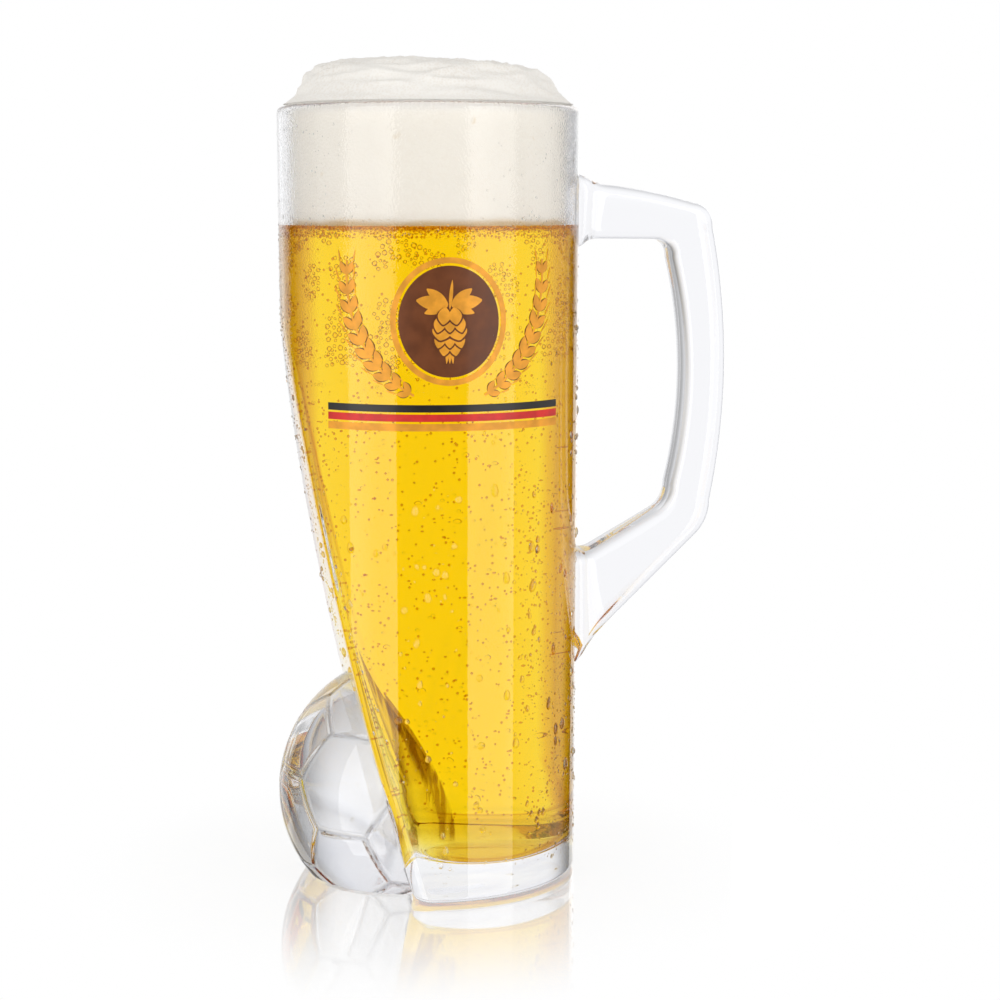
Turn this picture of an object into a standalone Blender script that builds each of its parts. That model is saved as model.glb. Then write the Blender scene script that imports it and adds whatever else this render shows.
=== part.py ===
"""Glass beer mug whose leg is cut away on a slant and leans on a glass football.

The origin is on the bowl's axis at table level. +Z is up, the handle is towards +X, the football is
towards -X and the printed side faces -Y. All sizes are in metres.
"""
import math

import bmesh
import bpy
from mathutils import Matrix, Vector

# Glass bowl and leg
HEIGHT = 0.198
RIM_RADIUS = 0.0386
FOOT_RADIUS = 0.0376
WALL = 0.0032
BASE_THICKNESS = 0.0080
FOOT_ROUND = 0.0018
CORNER_ROUND = 0.0048

# Slanted cut of the leg: one large arc, from the foot up to where it runs out on the bowl
CUT_FOOT_X = -0.0085
CUT_FOOT_ANGLE = math.radians(16.2)
CUT_RADIUS = 0.930

# Cavity inside the glass, with thicker glass at its heel, behind the football
CAVITY_CORNER_ROUND = 0.0080
CAVITY_FLOOR_ROUND = 0.0035
HEEL_GLASS = 0.0080
HEEL_HEIGHT = 0.058

# Drink
FILL_BELOW_RIM = 0.0296
DOME_HEIGHT = 0.0120
DOME_RADIUS = 0.0316
DOME_CROWN_RADIUS = 0.0105
DOME_FLATNESS = 7
DOME_FLARE = 0.0062
DOME_FLARE_POWER = 3
DOME_LIFT = 0.0006

# Handle: heights are taken where its arms meet the bowl
HANDLE_TOP_BELOW_RIM = 0.0190
HANDLE_SPAN = 0.1229
HANDLE_WIDTH = 0.0140
HANDLE_EDGE_ROUND = 0.0034
MOST_ROUND_PER_DEPTH = 0.45
TOP_ARM_DEPTH = 0.0142
TOP_ARM_FALL = 0.0058
TOP_ARM_END_DEPTH = 0.0086
TOP_ARM_CROWN = 0.0009
LOWER_ARM_DEPTH = 0.0255
LOWER_ARM_RISE = 0.0347
LOWER_ARM_END_DEPTH = 0.0050
FINGER_GAP = 0.0280
GRIP_DEPTH = 0.0108
GRIP_BOW = 0.0036
INNER_CORNER_REACH = 0.0050
OUTER_CORNER_REACH = 0.0055
PAD_FLARE = 0.0022
PAD_LENGTH = 0.0060

# Football
BALL_RADIUS = 0.0349
BALL_CENTRE_HEIGHT = 0.0211
BALL_PROUD = 0.0025
SEAM_WIDTH = 0.0014
SEAM_DEPTH = 0.0005
PANEL_YAW = math.radians(-38.0)
PANEL_TILT = math.radians(12.5)
PANEL_ROLL = math.radians(148.0)

# Fired enamel print, wrapped round the front of the bowl
PRINT_THICKNESS = 0.0002
MEDALLION_BELOW_RIM = 0.0525
MEDALLION_WIDTH = 0.0250
MEDALLION_HEIGHT = 0.0270
RING_GAP = 0.0006
RING_WIDTH = 0.0014
EAR_GAP = 0.0008
EAR_WIDTH = 0.0076
EAR_STEM_WIDTH = 0.0012
EAR_SPREAD = 0.0110
EAR_FOOT_ANGLE = math.radians(24.0)
EAR_TIP_ANGLE = math.radians(122.0)
EAR_GRAINS = 8
GRAIN_NOTCH = 0.6
STRIPE_SPACE = 0.0010
STRIPE_HEIGHT = 0.0018
STRIPE_GAP = 0.0005
STRIPE_LENGTH = 0.0640

# Air left between pieces that touch, so that each stays a solid of its own
CLEARANCE = 0.0003

# Facets
ARC_STEPS = 16
CORNER_STEPS = 4
FLAT_STEPS = 4
WALL_LEVELS = 14
LEVEL_APART = 0.001
ROUND_STEPS = 3
RIM_STEPS = 6
DOME_LEVELS = 7
ARM_STEPS = 5
GRIP_STEPS = 8
BEND_STEPS = 3
PRINT_STEPS = 18
GRAIN_STEPS = 4
ARC_LIMIT = math.radians(140.0)
FLAT_LIMIT = math.radians(150.0)
SHARP_ANGLE = math.radians(40.0)
PANEL_CUT_PERCENT = 100.0 / 3

# Heights and places that follow from the sizes above
FILL_HEIGHT = HEIGHT - FILL_BELOW_RIM
HANDLE_TOP = HEIGHT - HANDLE_TOP_BELOW_RIM
HANDLE_BOTTOM = HANDLE_TOP - HANDLE_SPAN
PRINT_FRONT = math.radians(-90.0)

# Finishes: colour, roughness, metallic value and how much light passes through
GLASS_FINISH = ((0.94, 0.96, 0.95), 0.03, 0.0, 1.0)
BEER_FINISH = ((0.98, 0.72, 0.03), 0.05, 0.0, 0.9)
FOAM_FINISH = ((0.92, 0.88, 0.80), 0.75, 0.0, 0.0)
BROWN_ENAMEL = ((0.16, 0.06, 0.02), 0.35, 0.0, 0.0)
GOLD_ENAMEL = ((0.72, 0.42, 0.10), 0.30, 0.6, 0.0)
BLACK_ENAMEL = ((0.015, 0.013, 0.012), 0.35, 0.0, 0.0)
RED_ENAMEL = ((0.62, 0.03, 0.02), 0.35, 0.0, 0.0)


def spread(first, last, steps):
    """Evenly spaced values from first to last, both included."""
    return [first + (last - first) * i / steps for i in range(steps + 1)]


def swell(share):
    """A smooth swelling along a run: nothing at both ends and whole in the middle."""
    return 4 * share * (1 - share)


def outer_radius(z):
    """Radius of the bowl's outside at a height."""
    return FOOT_RADIUS + (RIM_RADIUS - FOOT_RADIUS) * z / HEIGHT


def cut_lean(z):
    """How far the cut leans from upright at a height."""
    return math.asin(math.sin(CUT_FOOT_ANGLE) - z / CUT_RADIUS)


def cut_x(z):
    """Where the slanted cut stands at a height, along X."""
    return CUT_FOOT_X - CUT_RADIUS * (math.cos(cut_lean(z)) - math.cos(CUT_FOOT_ANGLE))


def outside(z, grow=0.0):
    """Radius, cut and corner rounding of the glass outside at a height, grown outwards if asked."""
    cut = cut_x(z) - grow / math.cos(cut_lean(z))
    return outer_radius(z) + grow, cut, CORNER_ROUND


def cavity(z, gap=0.0):
    """Radius, cut and corner rounding of the cavity at a height, or of a filling with a gap round it."""
    share = min(max((HEEL_HEIGHT - z) / (HEEL_HEIGHT - BASE_THICKNESS), 0.0), 1.0)
    heel = HEEL_GLASS * share**2 * (3 - 2 * share)
    cut = cut_x(z) + (WALL + gap) / math.cos(cut_lean(z)) + heel
    return outer_radius(z) - WALL - gap, cut, CAVITY_CORNER_ROUND


def section_point(angle, centre, radius, cut, corner):
    """Where a ray from (centre, 0) leaves a disc that is cut flat at x = cut, with rounded corners."""
    across = math.cos(angle)
    along = math.sin(angle)
    flat_half = math.sqrt(max((radius - corner) ** 2 - (cut + corner) ** 2, 0.0))
    if across < 0.0:
        reach = (cut - centre) / across
        if abs(reach * along) <= flat_half:
            return cut, reach * along
    reach = math.sqrt((centre * across) ** 2 + radius**2 - centre**2) - centre * across
    if (centre + reach * across) * (radius - corner) / radius >= cut + corner:
        return centre + reach * across, reach * along
    from_x = centre - cut - corner
    from_y = -math.copysign(flat_half, along)
    ahead = from_x * across + from_y * along
    reach = math.sqrt(max(ahead**2 - from_x**2 - from_y**2 + corner**2, 0.0)) - ahead
    return centre + reach * across, reach * along


def ring(z, radius, cut, corner):
    """One horizontal section of the glass as a loop of points that keeps to its corners."""
    cut = max(cut, -radius)
    centre = (radius + cut) / 2
    flat_half = math.sqrt(max((radius - corner) ** 2 - (cut + corner) ** 2, 0.0))
    grown = radius / (radius - corner)
    arc_end = math.atan2(flat_half * grown, (cut + corner) * grown - centre)
    flat_start = math.atan2(flat_half, cut - centre)
    arc_end = min(arc_end, ARC_LIMIT)
    flat_start = min(flat_start, FLAT_LIMIT)
    half = spread(0.0, arc_end, ARC_STEPS)
    half += spread(arc_end, flat_start, CORNER_STEPS)[1:]
    half += spread(flat_start, math.pi, FLAT_STEPS)[1:]
    angles = half + [-angle for angle in reversed(half[1:-1])]
    points = [section_point(angle, centre, radius, cut, corner) for angle in angles]
    return [(x, y, z) for x, y in points]


def drawn_in(z, section, inset):
    """A ring of a section that is drawn in all round, as on a rounded edge."""
    radius, cut, corner = section
    return ring(z, radius - inset, cut + inset, max(corner - inset, corner / 2))


def rounded_levels(low, rounding):
    """Heights and insets up a rounded lower edge, from its flat to its side."""
    turns = [i * math.pi / 2 / ROUND_STEPS for i in range(ROUND_STEPS)]
    return [(low + rounding * (1 - math.cos(turn)), rounding * (1 - math.sin(turn))) for turn in turns]


def wall_levels(low, top):
    """Heights of rings up a wall. Pieces side by side share those between, so that their facets agree."""
    shared = spread(0.0, HEIGHT, WALL_LEVELS)
    return [low, *(z for z in shared if low + LEVEL_APART < z < top - LEVEL_APART), top]


def cavity_rings(top, gap):
    """Rings of the cavity, or of its filling, from the floor up to a height."""
    floor = BASE_THICKNESS + gap
    rings = [drawn_in(z, cavity(z, gap), inset) for z, inset in rounded_levels(floor, CAVITY_FLOOR_ROUND)]
    return rings + [ring(z, *cavity(z, gap)) for z in wall_levels(floor + CAVITY_FLOOR_ROUND, top)]


def material(name, finish):
    """A plain surface material for one piece."""
    colour, roughness, metallic, clear = finish
    made = bpy.data.materials.new(name)
    made.use_nodes = True
    made.diffuse_color = (*colour, 1.0)
    shader = made.node_tree.nodes["Principled BSDF"]
    shader.inputs["Base Color"].default_value = (*colour, 1.0)
    shader.inputs["Roughness"].default_value = roughness
    shader.inputs["Metallic"].default_value = metallic
    shader.inputs["Transmission Weight"].default_value = clear
    return made


def piece(name, shape, finish):
    """Turns a shape into a named object with its own material and smooth shading."""
    bmesh.ops.recalc_face_normals(shape, faces=shape.faces)
    mesh = bpy.data.meshes.new(name)
    shape.to_mesh(mesh)
    shape.free()
    mesh.shade_smooth()
    mesh.set_sharp_from_angle(angle=SHARP_ANGLE)
    made = bpy.data.objects.new(name, mesh)
    made.data.materials.append(material(name, finish))
    bpy.context.scene.collection.objects.link(made)
    return made


def join_loops(shape, lower, upper):
    """A band of triangles between two loops, with each four-cornered facet split along its short way."""
    for i in range(len(lower)):
        j = (i + 1) % len(lower)
        if (lower[i].co - upper[j].co).length < (lower[j].co - upper[i].co).length:
            shape.faces.new((lower[i], lower[j], upper[j]))
            shape.faces.new((lower[i], upper[j], upper[i]))
        else:
            shape.faces.new((lower[i], lower[j], upper[i]))
            shape.faces.new((lower[j], upper[j], upper[i]))


def loft(name, rings, finish, closed=False):
    """A solid through a row of rings with as many points each: filled at its ends, or closed on itself."""
    shape = bmesh.new()
    loops = [[shape.verts.new(point) for point in points] for points in rings]
    for lower, upper in zip(loops, loops[1:]):
        join_loops(shape, lower, upper)
    if closed:
        join_loops(shape, loops[-1], loops[0])
    else:
        shape.faces.new(loops[0])
        shape.faces.new(loops[-1])
    return piece(name, shape, finish)


def cut_with(made, cutter):
    """Cuts one piece with a hidden cutter."""
    boolean = made.modifiers.new("seat", "BOOLEAN")
    boolean.operation = "DIFFERENCE"
    boolean.solver = "EXACT"
    boolean.object = cutter


def make_mug_body():
    """The bowl and leg: one glass vessel with a rounded foot, a round rim and an open cavity."""
    rings = [drawn_in(z, outside(z), inset) for z, inset in rounded_levels(0.0, FOOT_ROUND)]
    bead = WALL / 2
    shoulder = HEIGHT - bead
    rings += [ring(z, *outside(z)) for z in wall_levels(FOOT_ROUND, shoulder)]
    for step in range(1, RIM_STEPS):
        turn = math.pi * step / RIM_STEPS
        radius = outer_radius(shoulder) - bead + bead * math.cos(turn)
        rings.append(ring(shoulder + bead * math.sin(turn), radius, -radius, CORNER_ROUND))
    rings += reversed(cavity_rings(shoulder, 0.0))
    return loft("mug_body", rings, GLASS_FINISH)


def make_leg_cutter():
    """The leg's outside, grown by the clearance, which trims what is set against the glass."""
    below = -BALL_RADIUS
    rings = [ring(z, *outside(z, CLEARANCE)) for z in [below, *wall_levels(0.0, HEIGHT)]]
    cutter = loft("leg_cutter", rings, GLASS_FINISH)
    cutter.hide_render = True
    cutter.display_type = "WIRE"
    return cutter


def make_beer():
    """The drink, up to the fill line."""
    return loft("beer", cavity_rings(FILL_HEIGHT, CLEARANCE), BEER_FINISH)


def make_foam_head():
    """The foam: a plug in the bowl's mouth that spreads over the rim and swells into a flat dome."""
    bead = WALL / 2
    heights = wall_levels(FILL_HEIGHT + CLEARANCE, HEIGHT - bead)
    rings = [ring(z, *cavity(z, CLEARANCE)) for z in heights]
    base = HEIGHT + DOME_LIFT
    rings.append(ring(base, *cavity(HEIGHT, CLEARANCE)))
    for step in range(DOME_LEVELS):
        rise = step / DOME_LEVELS
        radius = DOME_RADIUS * math.sqrt(1 - rise**DOME_FLATNESS)
        radius += DOME_FLARE * (1 - rise) ** DOME_FLARE_POWER
        rings.append(ring(base + DOME_HEIGHT * rise, radius, -radius, CORNER_ROUND))
    rings.append(ring(base + DOME_HEIGHT, DOME_CROWN_RADIUS, -DOME_CROWN_RADIUS, CORNER_ROUND))
    return loft("foam_head", rings, FOAM_FINISH)


def bend(before, corner, after, reach):
    """A rounded corner between two straight runs, as points from one run to the other."""
    start = corner + (before - corner).normalized() * reach
    end = corner + (after - corner).normalized() * reach
    curve = []
    for share in spread(0.0, 1.0, BEND_STEPS):
        curve.append(start * (1 - share) ** 2 + corner * 2 * share * (1 - share) + end * share**2)
    return curve


def handle_outline(wall_top, corner_top, corner_low, wall_low, crown, reach):
    """One edge of the handle in the XZ plane, from inside the wall round the grip and back into it."""
    root_top = wall_top + (wall_top - corner_top) * WALL / (corner_top.x - wall_top.x)
    root_low = wall_low + (wall_low - corner_low) * WALL / (corner_low.x - wall_low.x)
    upper = bend(root_top, corner_top, corner_low, reach)
    lower = bend(corner_top, corner_low, root_low, reach)
    points = []
    for share in spread(0.0, 1.0, ARM_STEPS):
        points.append(root_top.lerp(upper[0], share) + Vector((0.0, crown * swell(share))))
    points += upper[1:]
    for share in spread(0.0, 1.0, GRIP_STEPS)[1:]:
        points.append(upper[-1].lerp(lower[0], share) + Vector((GRIP_BOW * swell(share), 0.0)))
    points += lower[1:]
    points += [lower[-1].lerp(root_low, share) for share in spread(0.0, 1.0, ARM_STEPS)[1:]]
    return points


def handle_section(inner, outer, width):
    """A rounded oblong between the two edges of the handle, as a loop of points."""
    depth = (outer - inner).length
    rounding = min(HANDLE_EDGE_ROUND, MOST_ROUND_PER_DEPTH * min(depth, width))
    direction = (outer - inner) / depth
    middle = (inner + outer) / 2
    loop = []
    for corner in range(4):
        for share in spread(0.0, 1.0, ROUND_STEPS):
            turn = (corner + share) * math.pi / 2
            side_x = 1 if corner in (0, 3) else -1
            side_y = 1 if corner < 2 else -1
            along = side_x * (depth / 2 - rounding) + rounding * math.cos(turn)
            y = side_y * (width / 2 - rounding) + rounding * math.sin(turn)
            place = middle + direction * along
            loop.append((place.x, y, place.y))
    return loop


def wall_point(z):
    """A point of the bowl's outside at a height, on the handle's side, in the XZ plane."""
    return Vector((outer_radius(z), z))


def make_handle(cutter):
    """The bent glass handle, flared where its two arms are fused to the bowl."""
    inner_x = outer_radius(HANDLE_TOP) + FINGER_GAP - GRIP_BOW
    outer_x = inner_x + GRIP_DEPTH
    top_corner_z = HANDLE_TOP - TOP_ARM_FALL
    low_corner_z = HANDLE_BOTTOM + LOWER_ARM_RISE
    outer = handle_outline(
        wall_point(HANDLE_TOP),
        Vector((outer_x, top_corner_z)),
        Vector((outer_x, low_corner_z)),
        wall_point(HANDLE_BOTTOM),
        TOP_ARM_CROWN,
        OUTER_CORNER_REACH,
    )
    inner = handle_outline(
        wall_point(HANDLE_TOP - TOP_ARM_DEPTH),
        Vector((inner_x, top_corner_z - TOP_ARM_END_DEPTH)),
        Vector((inner_x, low_corner_z + LOWER_ARM_END_DEPTH)),
        wall_point(HANDLE_BOTTOM + LOWER_ARM_DEPTH),
        0.0,
        INNER_CORNER_REACH,
    )
    rings = []
    for inside_edge, outside_edge in zip(inner, outer):
        middle = (inside_edge + outside_edge) / 2
        away = max(middle.x - outer_radius(middle.y), 0.0)
        flare = PAD_FLARE * max(1 - away / PAD_LENGTH, 0.0) ** 2
        out = (outside_edge - inside_edge).normalized() * flare
        rings.append(handle_section(inside_edge - out, outside_edge + out, HANDLE_WIDTH + 2 * flare))
    handle = loft("handle", rings, GLASS_FINISH)
    cut_with(handle, cutter)
    return handle


def panel_turn(shape):
    """The turn that puts one six-sided panel of the ball where it faces the printed side."""
    face = shape.faces[0]
    middle = face.calc_center_median().normalized()
    point = face.verts[0].co
    side = (point - middle * point.dot(middle)).normalized()
    level = Vector((math.sin(PANEL_YAW), -math.cos(PANEL_YAW), 0.0))
    facing = level * math.cos(PANEL_TILT) + Vector((0.0, 0.0, math.sin(PANEL_TILT)))
    right = Vector((math.cos(PANEL_YAW), math.sin(PANEL_YAW), 0.0))
    towards = right * math.cos(PANEL_ROLL) + facing.cross(right) * math.sin(PANEL_ROLL)
    before = Matrix((middle, side, middle.cross(side))).transposed()
    after = Matrix((facing, towards, facing.cross(towards))).transposed()
    return (after @ before.transposed()).to_4x4()


def make_football(cutter):
    """The ball that backs the leg: stitched panels in glass, flat below and cut to fit the leg."""
    shape = bmesh.new()
    bmesh.ops.create_icosphere(shape, subdivisions=1, radius=1.0)
    shape.faces.ensure_lookup_table()
    bmesh.ops.transform(shape, matrix=panel_turn(shape), verts=shape.verts)
    bmesh.ops.bevel(
        shape,
        geom=shape.verts,
        affect="VERTICES",
        offset_type="PERCENT",
        offset=PANEL_CUT_PERCENT,
        segments=1,
    )
    for vert in shape.verts:
        vert.co = vert.co.normalized() * BALL_RADIUS
    seam_points = set(shape.verts)
    panels = list(shape.faces)
    bmesh.ops.inset_individual(shape, faces=panels, thickness=SEAM_WIDTH / 2)
    crowns = bmesh.ops.poke(shape, faces=panels)["faces"]
    edges = {edge for face in crowns for edge in face.edges}
    bmesh.ops.subdivide_edges(shape, edges=list(edges), cuts=1, use_grid_fill=True)
    for vert in shape.verts:
        radius = BALL_RADIUS - SEAM_DEPTH if vert in seam_points else BALL_RADIUS
        vert.co = vert.co.normalized() * radius
    bmesh.ops.bisect_plane(
        shape,
        geom=shape.verts[:] + shape.edges[:] + shape.faces[:],
        plane_co=(0.0, 0.0, -BALL_CENTRE_HEIGHT),
        plane_no=(0.0, 0.0, 1.0),
        clear_inner=True,
    )
    open_edges = [edge for edge in shape.edges if edge.is_boundary]
    bmesh.ops.holes_fill(shape, edges=open_edges)
    football = piece("football", shape, GLASS_FINISH)
    football.location = (BALL_RADIUS - FOOT_RADIUS - BALL_PROUD, 0.0, BALL_CENTRE_HEIGHT)
    cut_with(football, cutter)
    return football


def on_bowl(across, below_rim, lift):
    """A point of the print: so far round the bowl from its front, below the rim and off the glass."""
    z = HEIGHT - below_rim
    radius = outer_radius(z)
    angle = PRINT_FRONT + across / radius
    return (radius + lift) * math.cos(angle), (radius + lift) * math.sin(angle), z


def enamel(name, edges, finish, closed=False):
    """A thin layer of enamel between two edges of (across, below the rim) points."""
    rings = []
    for low, high in edges:
        near = CLEARANCE
        far = CLEARANCE + PRINT_THICKNESS
        rings.append([on_bowl(*low, near), on_bowl(*high, near), on_bowl(*high, far), on_bowl(*low, far)])
    return loft(name, rings, finish, closed)


def make_medallion():
    """An oval brown ground with a gold ring round it."""
    half_width = MEDALLION_WIDTH / 2
    half_height = MEDALLION_HEIGHT / 2
    edges = []
    for step in range(1, PRINT_STEPS):
        turn = math.pi * step / PRINT_STEPS
        across = -half_width * math.cos(turn)
        rise = half_height * math.sin(turn)
        edges.append(((across, MEDALLION_BELOW_RIM + rise), (across, MEDALLION_BELOW_RIM - rise)))
    enamel("medallion_ground", edges, BROWN_ENAMEL)
    edges = []
    for step in range(2 * PRINT_STEPS):
        turn = math.pi * step / PRINT_STEPS
        pair = []
        for grow in (RING_GAP, RING_GAP + RING_WIDTH):
            across = (half_width + grow) * math.cos(turn)
            rise = (half_height + grow) * math.sin(turn)
            pair.append((across, MEDALLION_BELOW_RIM - rise))
        edges.append(tuple(pair))
    enamel("medallion_ring", edges, GOLD_ENAMEL, closed=True)


def ear_edges():
    """Both edges of the right ear of barley, which curves up round the medallion and away from it."""
    near = RING_GAP + RING_WIDTH + EAR_GAP + EAR_WIDTH / 2
    edges = []
    for share in spread(0.0, 1.0, GRAIN_STEPS * EAR_GRAINS):
        turn = EAR_FOOT_ANGLE + (EAR_TIP_ANGLE - EAR_FOOT_ANGLE) * share
        out = near + EAR_SPREAD * share**2
        half_width = MEDALLION_WIDTH / 2 + out
        half_height = MEDALLION_HEIGHT / 2 + out
        spine = Vector((half_width * math.sin(turn), MEDALLION_BELOW_RIM + half_height * math.cos(turn)))
        away = Vector((math.sin(turn) / half_width, math.cos(turn) / half_height)).normalized()
        notch = GRAIN_NOTCH * (1 - abs(math.sin(math.pi * EAR_GRAINS * share)))
        taper = math.sqrt(math.sin(math.pi * share))
        half = (EAR_STEM_WIDTH + (EAR_WIDTH - EAR_STEM_WIDTH) * taper * (1 - notch)) / 2
        edges.append((spine + away * half, spine - away * half))
    return edges


def make_barley_ears():
    """Two ears of barley, one on each side of the medallion, as scalloped bands."""
    for name, side in (("barley_ear_left", -1), ("barley_ear_right", 1)):
        edges = [((side * low.x, low.y), (side * high.x, high.y)) for low, high in ear_edges()]
        enamel(name, edges, GOLD_ENAMEL)


def make_stripes():
    """Three straight stripes below the medallion and the feet of the ears."""
    ring_bottom = MEDALLION_BELOW_RIM + MEDALLION_HEIGHT / 2 + RING_GAP + RING_WIDTH
    lowest = max(ring_bottom, *(point.y for edge in ear_edges() for point in edge))
    finishes = (("black", BLACK_ENAMEL), ("red", RED_ENAMEL), ("gold", GOLD_ENAMEL))
    for row, (name, finish) in enumerate(finishes):
        top = lowest + STRIPE_SPACE + row * (STRIPE_HEIGHT + STRIPE_GAP)
        places = spread(-STRIPE_LENGTH / 2, STRIPE_LENGTH / 2, PRINT_STEPS)
        enamel(f"stripe_{name}", [((x, top + STRIPE_HEIGHT), (x, top)) for x in places], finish)


for old in list(bpy.data.objects):
    bpy.data.objects.remove(old)

leg_cutter = make_leg_cutter()
make_mug_body()
make_handle(leg_cutter)
make_football(leg_cutter)
make_beer()
make_foam_head()
make_medallion()
make_barley_ears()
make_stripes()

pieces = list(bpy.context.scene.collection.objects)
mug = bpy.data.objects.new("mug", None)
bpy.context.scene.collection.objects.link(mug)
for made_piece in pieces:
    made_piece.parent = mug
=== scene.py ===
# %% [markdown]
# # A glass beer mug that leans on a glass football
# The frame holds the solids of the mug at their real size. This lesson gives each of them its looks: clear
# glass, a drink that light shines through, foam, fired enamel, and the small things that make it cold:
# bubbles and drops. Everything is in metres, with the table at height 0, the handle towards +X and the
# printed side towards -Y.

# %% Load the frame
import math
import random

import bpy
import numpy as np
from mathutils import Matrix, Vector, noise


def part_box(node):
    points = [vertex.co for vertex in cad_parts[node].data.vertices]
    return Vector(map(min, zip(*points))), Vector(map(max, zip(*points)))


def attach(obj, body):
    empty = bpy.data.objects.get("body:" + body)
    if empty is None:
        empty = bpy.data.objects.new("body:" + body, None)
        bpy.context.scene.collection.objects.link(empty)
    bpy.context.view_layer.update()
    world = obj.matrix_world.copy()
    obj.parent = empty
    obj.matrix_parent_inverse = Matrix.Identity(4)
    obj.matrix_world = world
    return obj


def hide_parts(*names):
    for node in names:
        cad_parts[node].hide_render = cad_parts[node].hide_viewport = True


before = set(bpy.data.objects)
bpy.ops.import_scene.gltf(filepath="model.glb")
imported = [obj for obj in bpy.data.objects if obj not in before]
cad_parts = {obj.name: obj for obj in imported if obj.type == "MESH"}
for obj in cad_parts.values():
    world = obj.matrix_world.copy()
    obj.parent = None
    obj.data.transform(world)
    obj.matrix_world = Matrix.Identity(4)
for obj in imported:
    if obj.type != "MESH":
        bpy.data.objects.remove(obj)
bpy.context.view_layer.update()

bpy.ops.object.select_all(action="DESELECT")

# %% [markdown]
# ## A shorthand for shader nodes
# A finish is a small network of nodes. Drawing it by hand is slow to read back, so a socket is wrapped in a
# class whose sums add Math nodes. One method adds every other kind of node, and the kinds that come up
# often have methods of their own.

# %% Shader shorthand
class Wire:
    """One socket of a node tree. Sums of wires add Math nodes, and node() adds any other node."""

    def __init__(self, tree, socket=None):
        self.tree = tree
        self.socket = socket

    def node(self, kind, settings, sockets, out=0):
        """Adds a node: its settings are set first, then the values or links of its sockets."""
        made = self.tree.nodes.new("ShaderNode" + kind)
        for name, value in settings.items():
            if name == "stops":
                ramp = made.color_ramp.elements
                while len(ramp) < len(value):
                    ramp.new(1.0)
                for stop, (place, colour) in zip(ramp, value):
                    stop.position = place
                    stop.color = (*colour, 1.0)
            else:
                setattr(made, name, value)
        for key, value in sockets.items():
            if isinstance(value, Wire):
                self.tree.links.new(value.socket, made.inputs[key])
            else:
                made.inputs[key].default_value = value
        return Wire(self.tree, made.outputs[out])

    def maths(self, operation, first, second):
        return self.node("Math", {"operation": operation}, {0: first, 1: second})

    def __add__(self, other):
        return self.maths("ADD", self, other)

    def __sub__(self, other):
        return self.maths("SUBTRACT", self, other)

    def __rsub__(self, other):
        return self.maths("SUBTRACT", other, self)

    def __mul__(self, other):
        return self.maths("MULTIPLY", self, other)

    def largest(self, other):
        return self.maths("MAXIMUM", self, other)

    def place(self):
        """The coordinates of the object."""
        return self.node("TexCoord", {}, {}, "Object")

    def axis(self, name):
        """One coordinate of this vector."""
        return self.node("SeparateXYZ", {}, {"Vector": self}, name)

    def clouds(self, scale, detail=2.0):
        """Soft noise at the places that this vector gives."""
        return self.node("TexNoise", {}, {"Vector": self, "Scale": scale, "Detail": detail}, "Fac")

    # Painted shade: a ramp that darkens a surface by how steeply it is seen.
    def painted_edge_shade(self, stops):
        """Painted shade that follows how steeply the surface is seen, from face on at 0 to edge on at 1."""
        facing = self.node("LayerWeight", {}, {"Blend": 0.5}, "Facing")
        return self.node("ValToRGB", {"stops": stops}, {"Fac": facing}, "Color")

    def smooth(self, start, end):
        """A soft step from 0 to 1 as this value goes from start to end."""
        sockets = {"Value": self, "From Min": start, "From Max": end}
        return self.node("MapRange", {"interpolation_type": "SMOOTHSTEP"}, sockets)

    def mixed(self, first, second):
        """A colour between two others, with this value as the share of the second."""
        return self.node("Mix", {"data_type": "RGBA"}, {"Factor": self, "A": first, "B": second}, "Result")

    __radd__ = __add__
    __rmul__ = __mul__


def rgba(red, green, blue):
    return (red, green, blue, 1.0)


WHITE = rgba(1.0, 1.0, 1.0)


def finish(name, sockets):
    """A new material with these constants on its shader, and a wire to draw the rest with."""
    made = bpy.data.materials.new(name)
    made.use_nodes = True
    shader = made.node_tree.nodes["Principled BSDF"]
    for socket, value in sockets.items():
        shader.inputs[socket].default_value = value
    return made, shader, Wire(made.node_tree)


def link(wire, shader, socket):
    wire.tree.links.new(wire.socket, shader.inputs[socket])


def ruffle(height, shader, strength, depth):
    """Gives a shader the small relief that a wire draws."""
    sockets = {"Strength": strength, "Distance": depth, "Height": height}
    link(height.node("Bump", {}, sockets, "Normal"), shader, "Normal")


# %% [markdown]
# ## The camera
# The camera stands a little left of the printed side and looks slightly down, with a long lens, as in a
# product picture. Its place was worked out from the outlines of the glass.

# %% Camera
CAMERA_PLACE = Vector((-0.0761, -0.5888, 0.1754))
CAMERA_LOOKS = Vector((0.1572, 0.9789, -0.1308))
CAMERA_LENS = 82.72
CAMERA_SENSOR = 36.0
CAMERA_NEAREST = 0.01
MOST_BOUNCES = 32

bpy.ops.object.camera_add(location=CAMERA_PLACE, rotation=CAMERA_LOOKS.to_track_quat("-Z", "Y").to_euler())
camera = bpy.context.object
camera.name = "camera"
camera.data.lens = CAMERA_LENS
camera.data.sensor_width = CAMERA_SENSOR
camera.data.clip_start = CAMERA_NEAREST
scene = bpy.context.scene
scene.camera = camera
scene.view_settings.view_transform = "Standard"
scene.cycles.max_bounces = MOST_BOUNCES
scene.cycles.transmission_bounces = MOST_BOUNCES
scene.cycles.glossy_bounces = MOST_BOUNCES
scene.cycles.transparent_max_bounces = MOST_BOUNCES
print("camera", round(CAMERA_PLACE.xy.length, 3), "m from the bowl's axis")

# %% [markdown]
# ## Light
# Glass shows what is round it. A white wall behind the mug shines through the drink, and the dimmer sides
# of the studio draw the dark edges of the glass. Far out at the sides stand paler panels, so that the drink
# stays bright from there too. Light that went through the drink has passed more surfaces than light through
# clear glass, so it is dimmed less at the sides. Reflections see less: the wall, the panels as a thin veil,
# and the light above. Matt surfaces are lit from all round and more from overhead. All of this is one world
# whose strength depends on the kind of ray.

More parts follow.
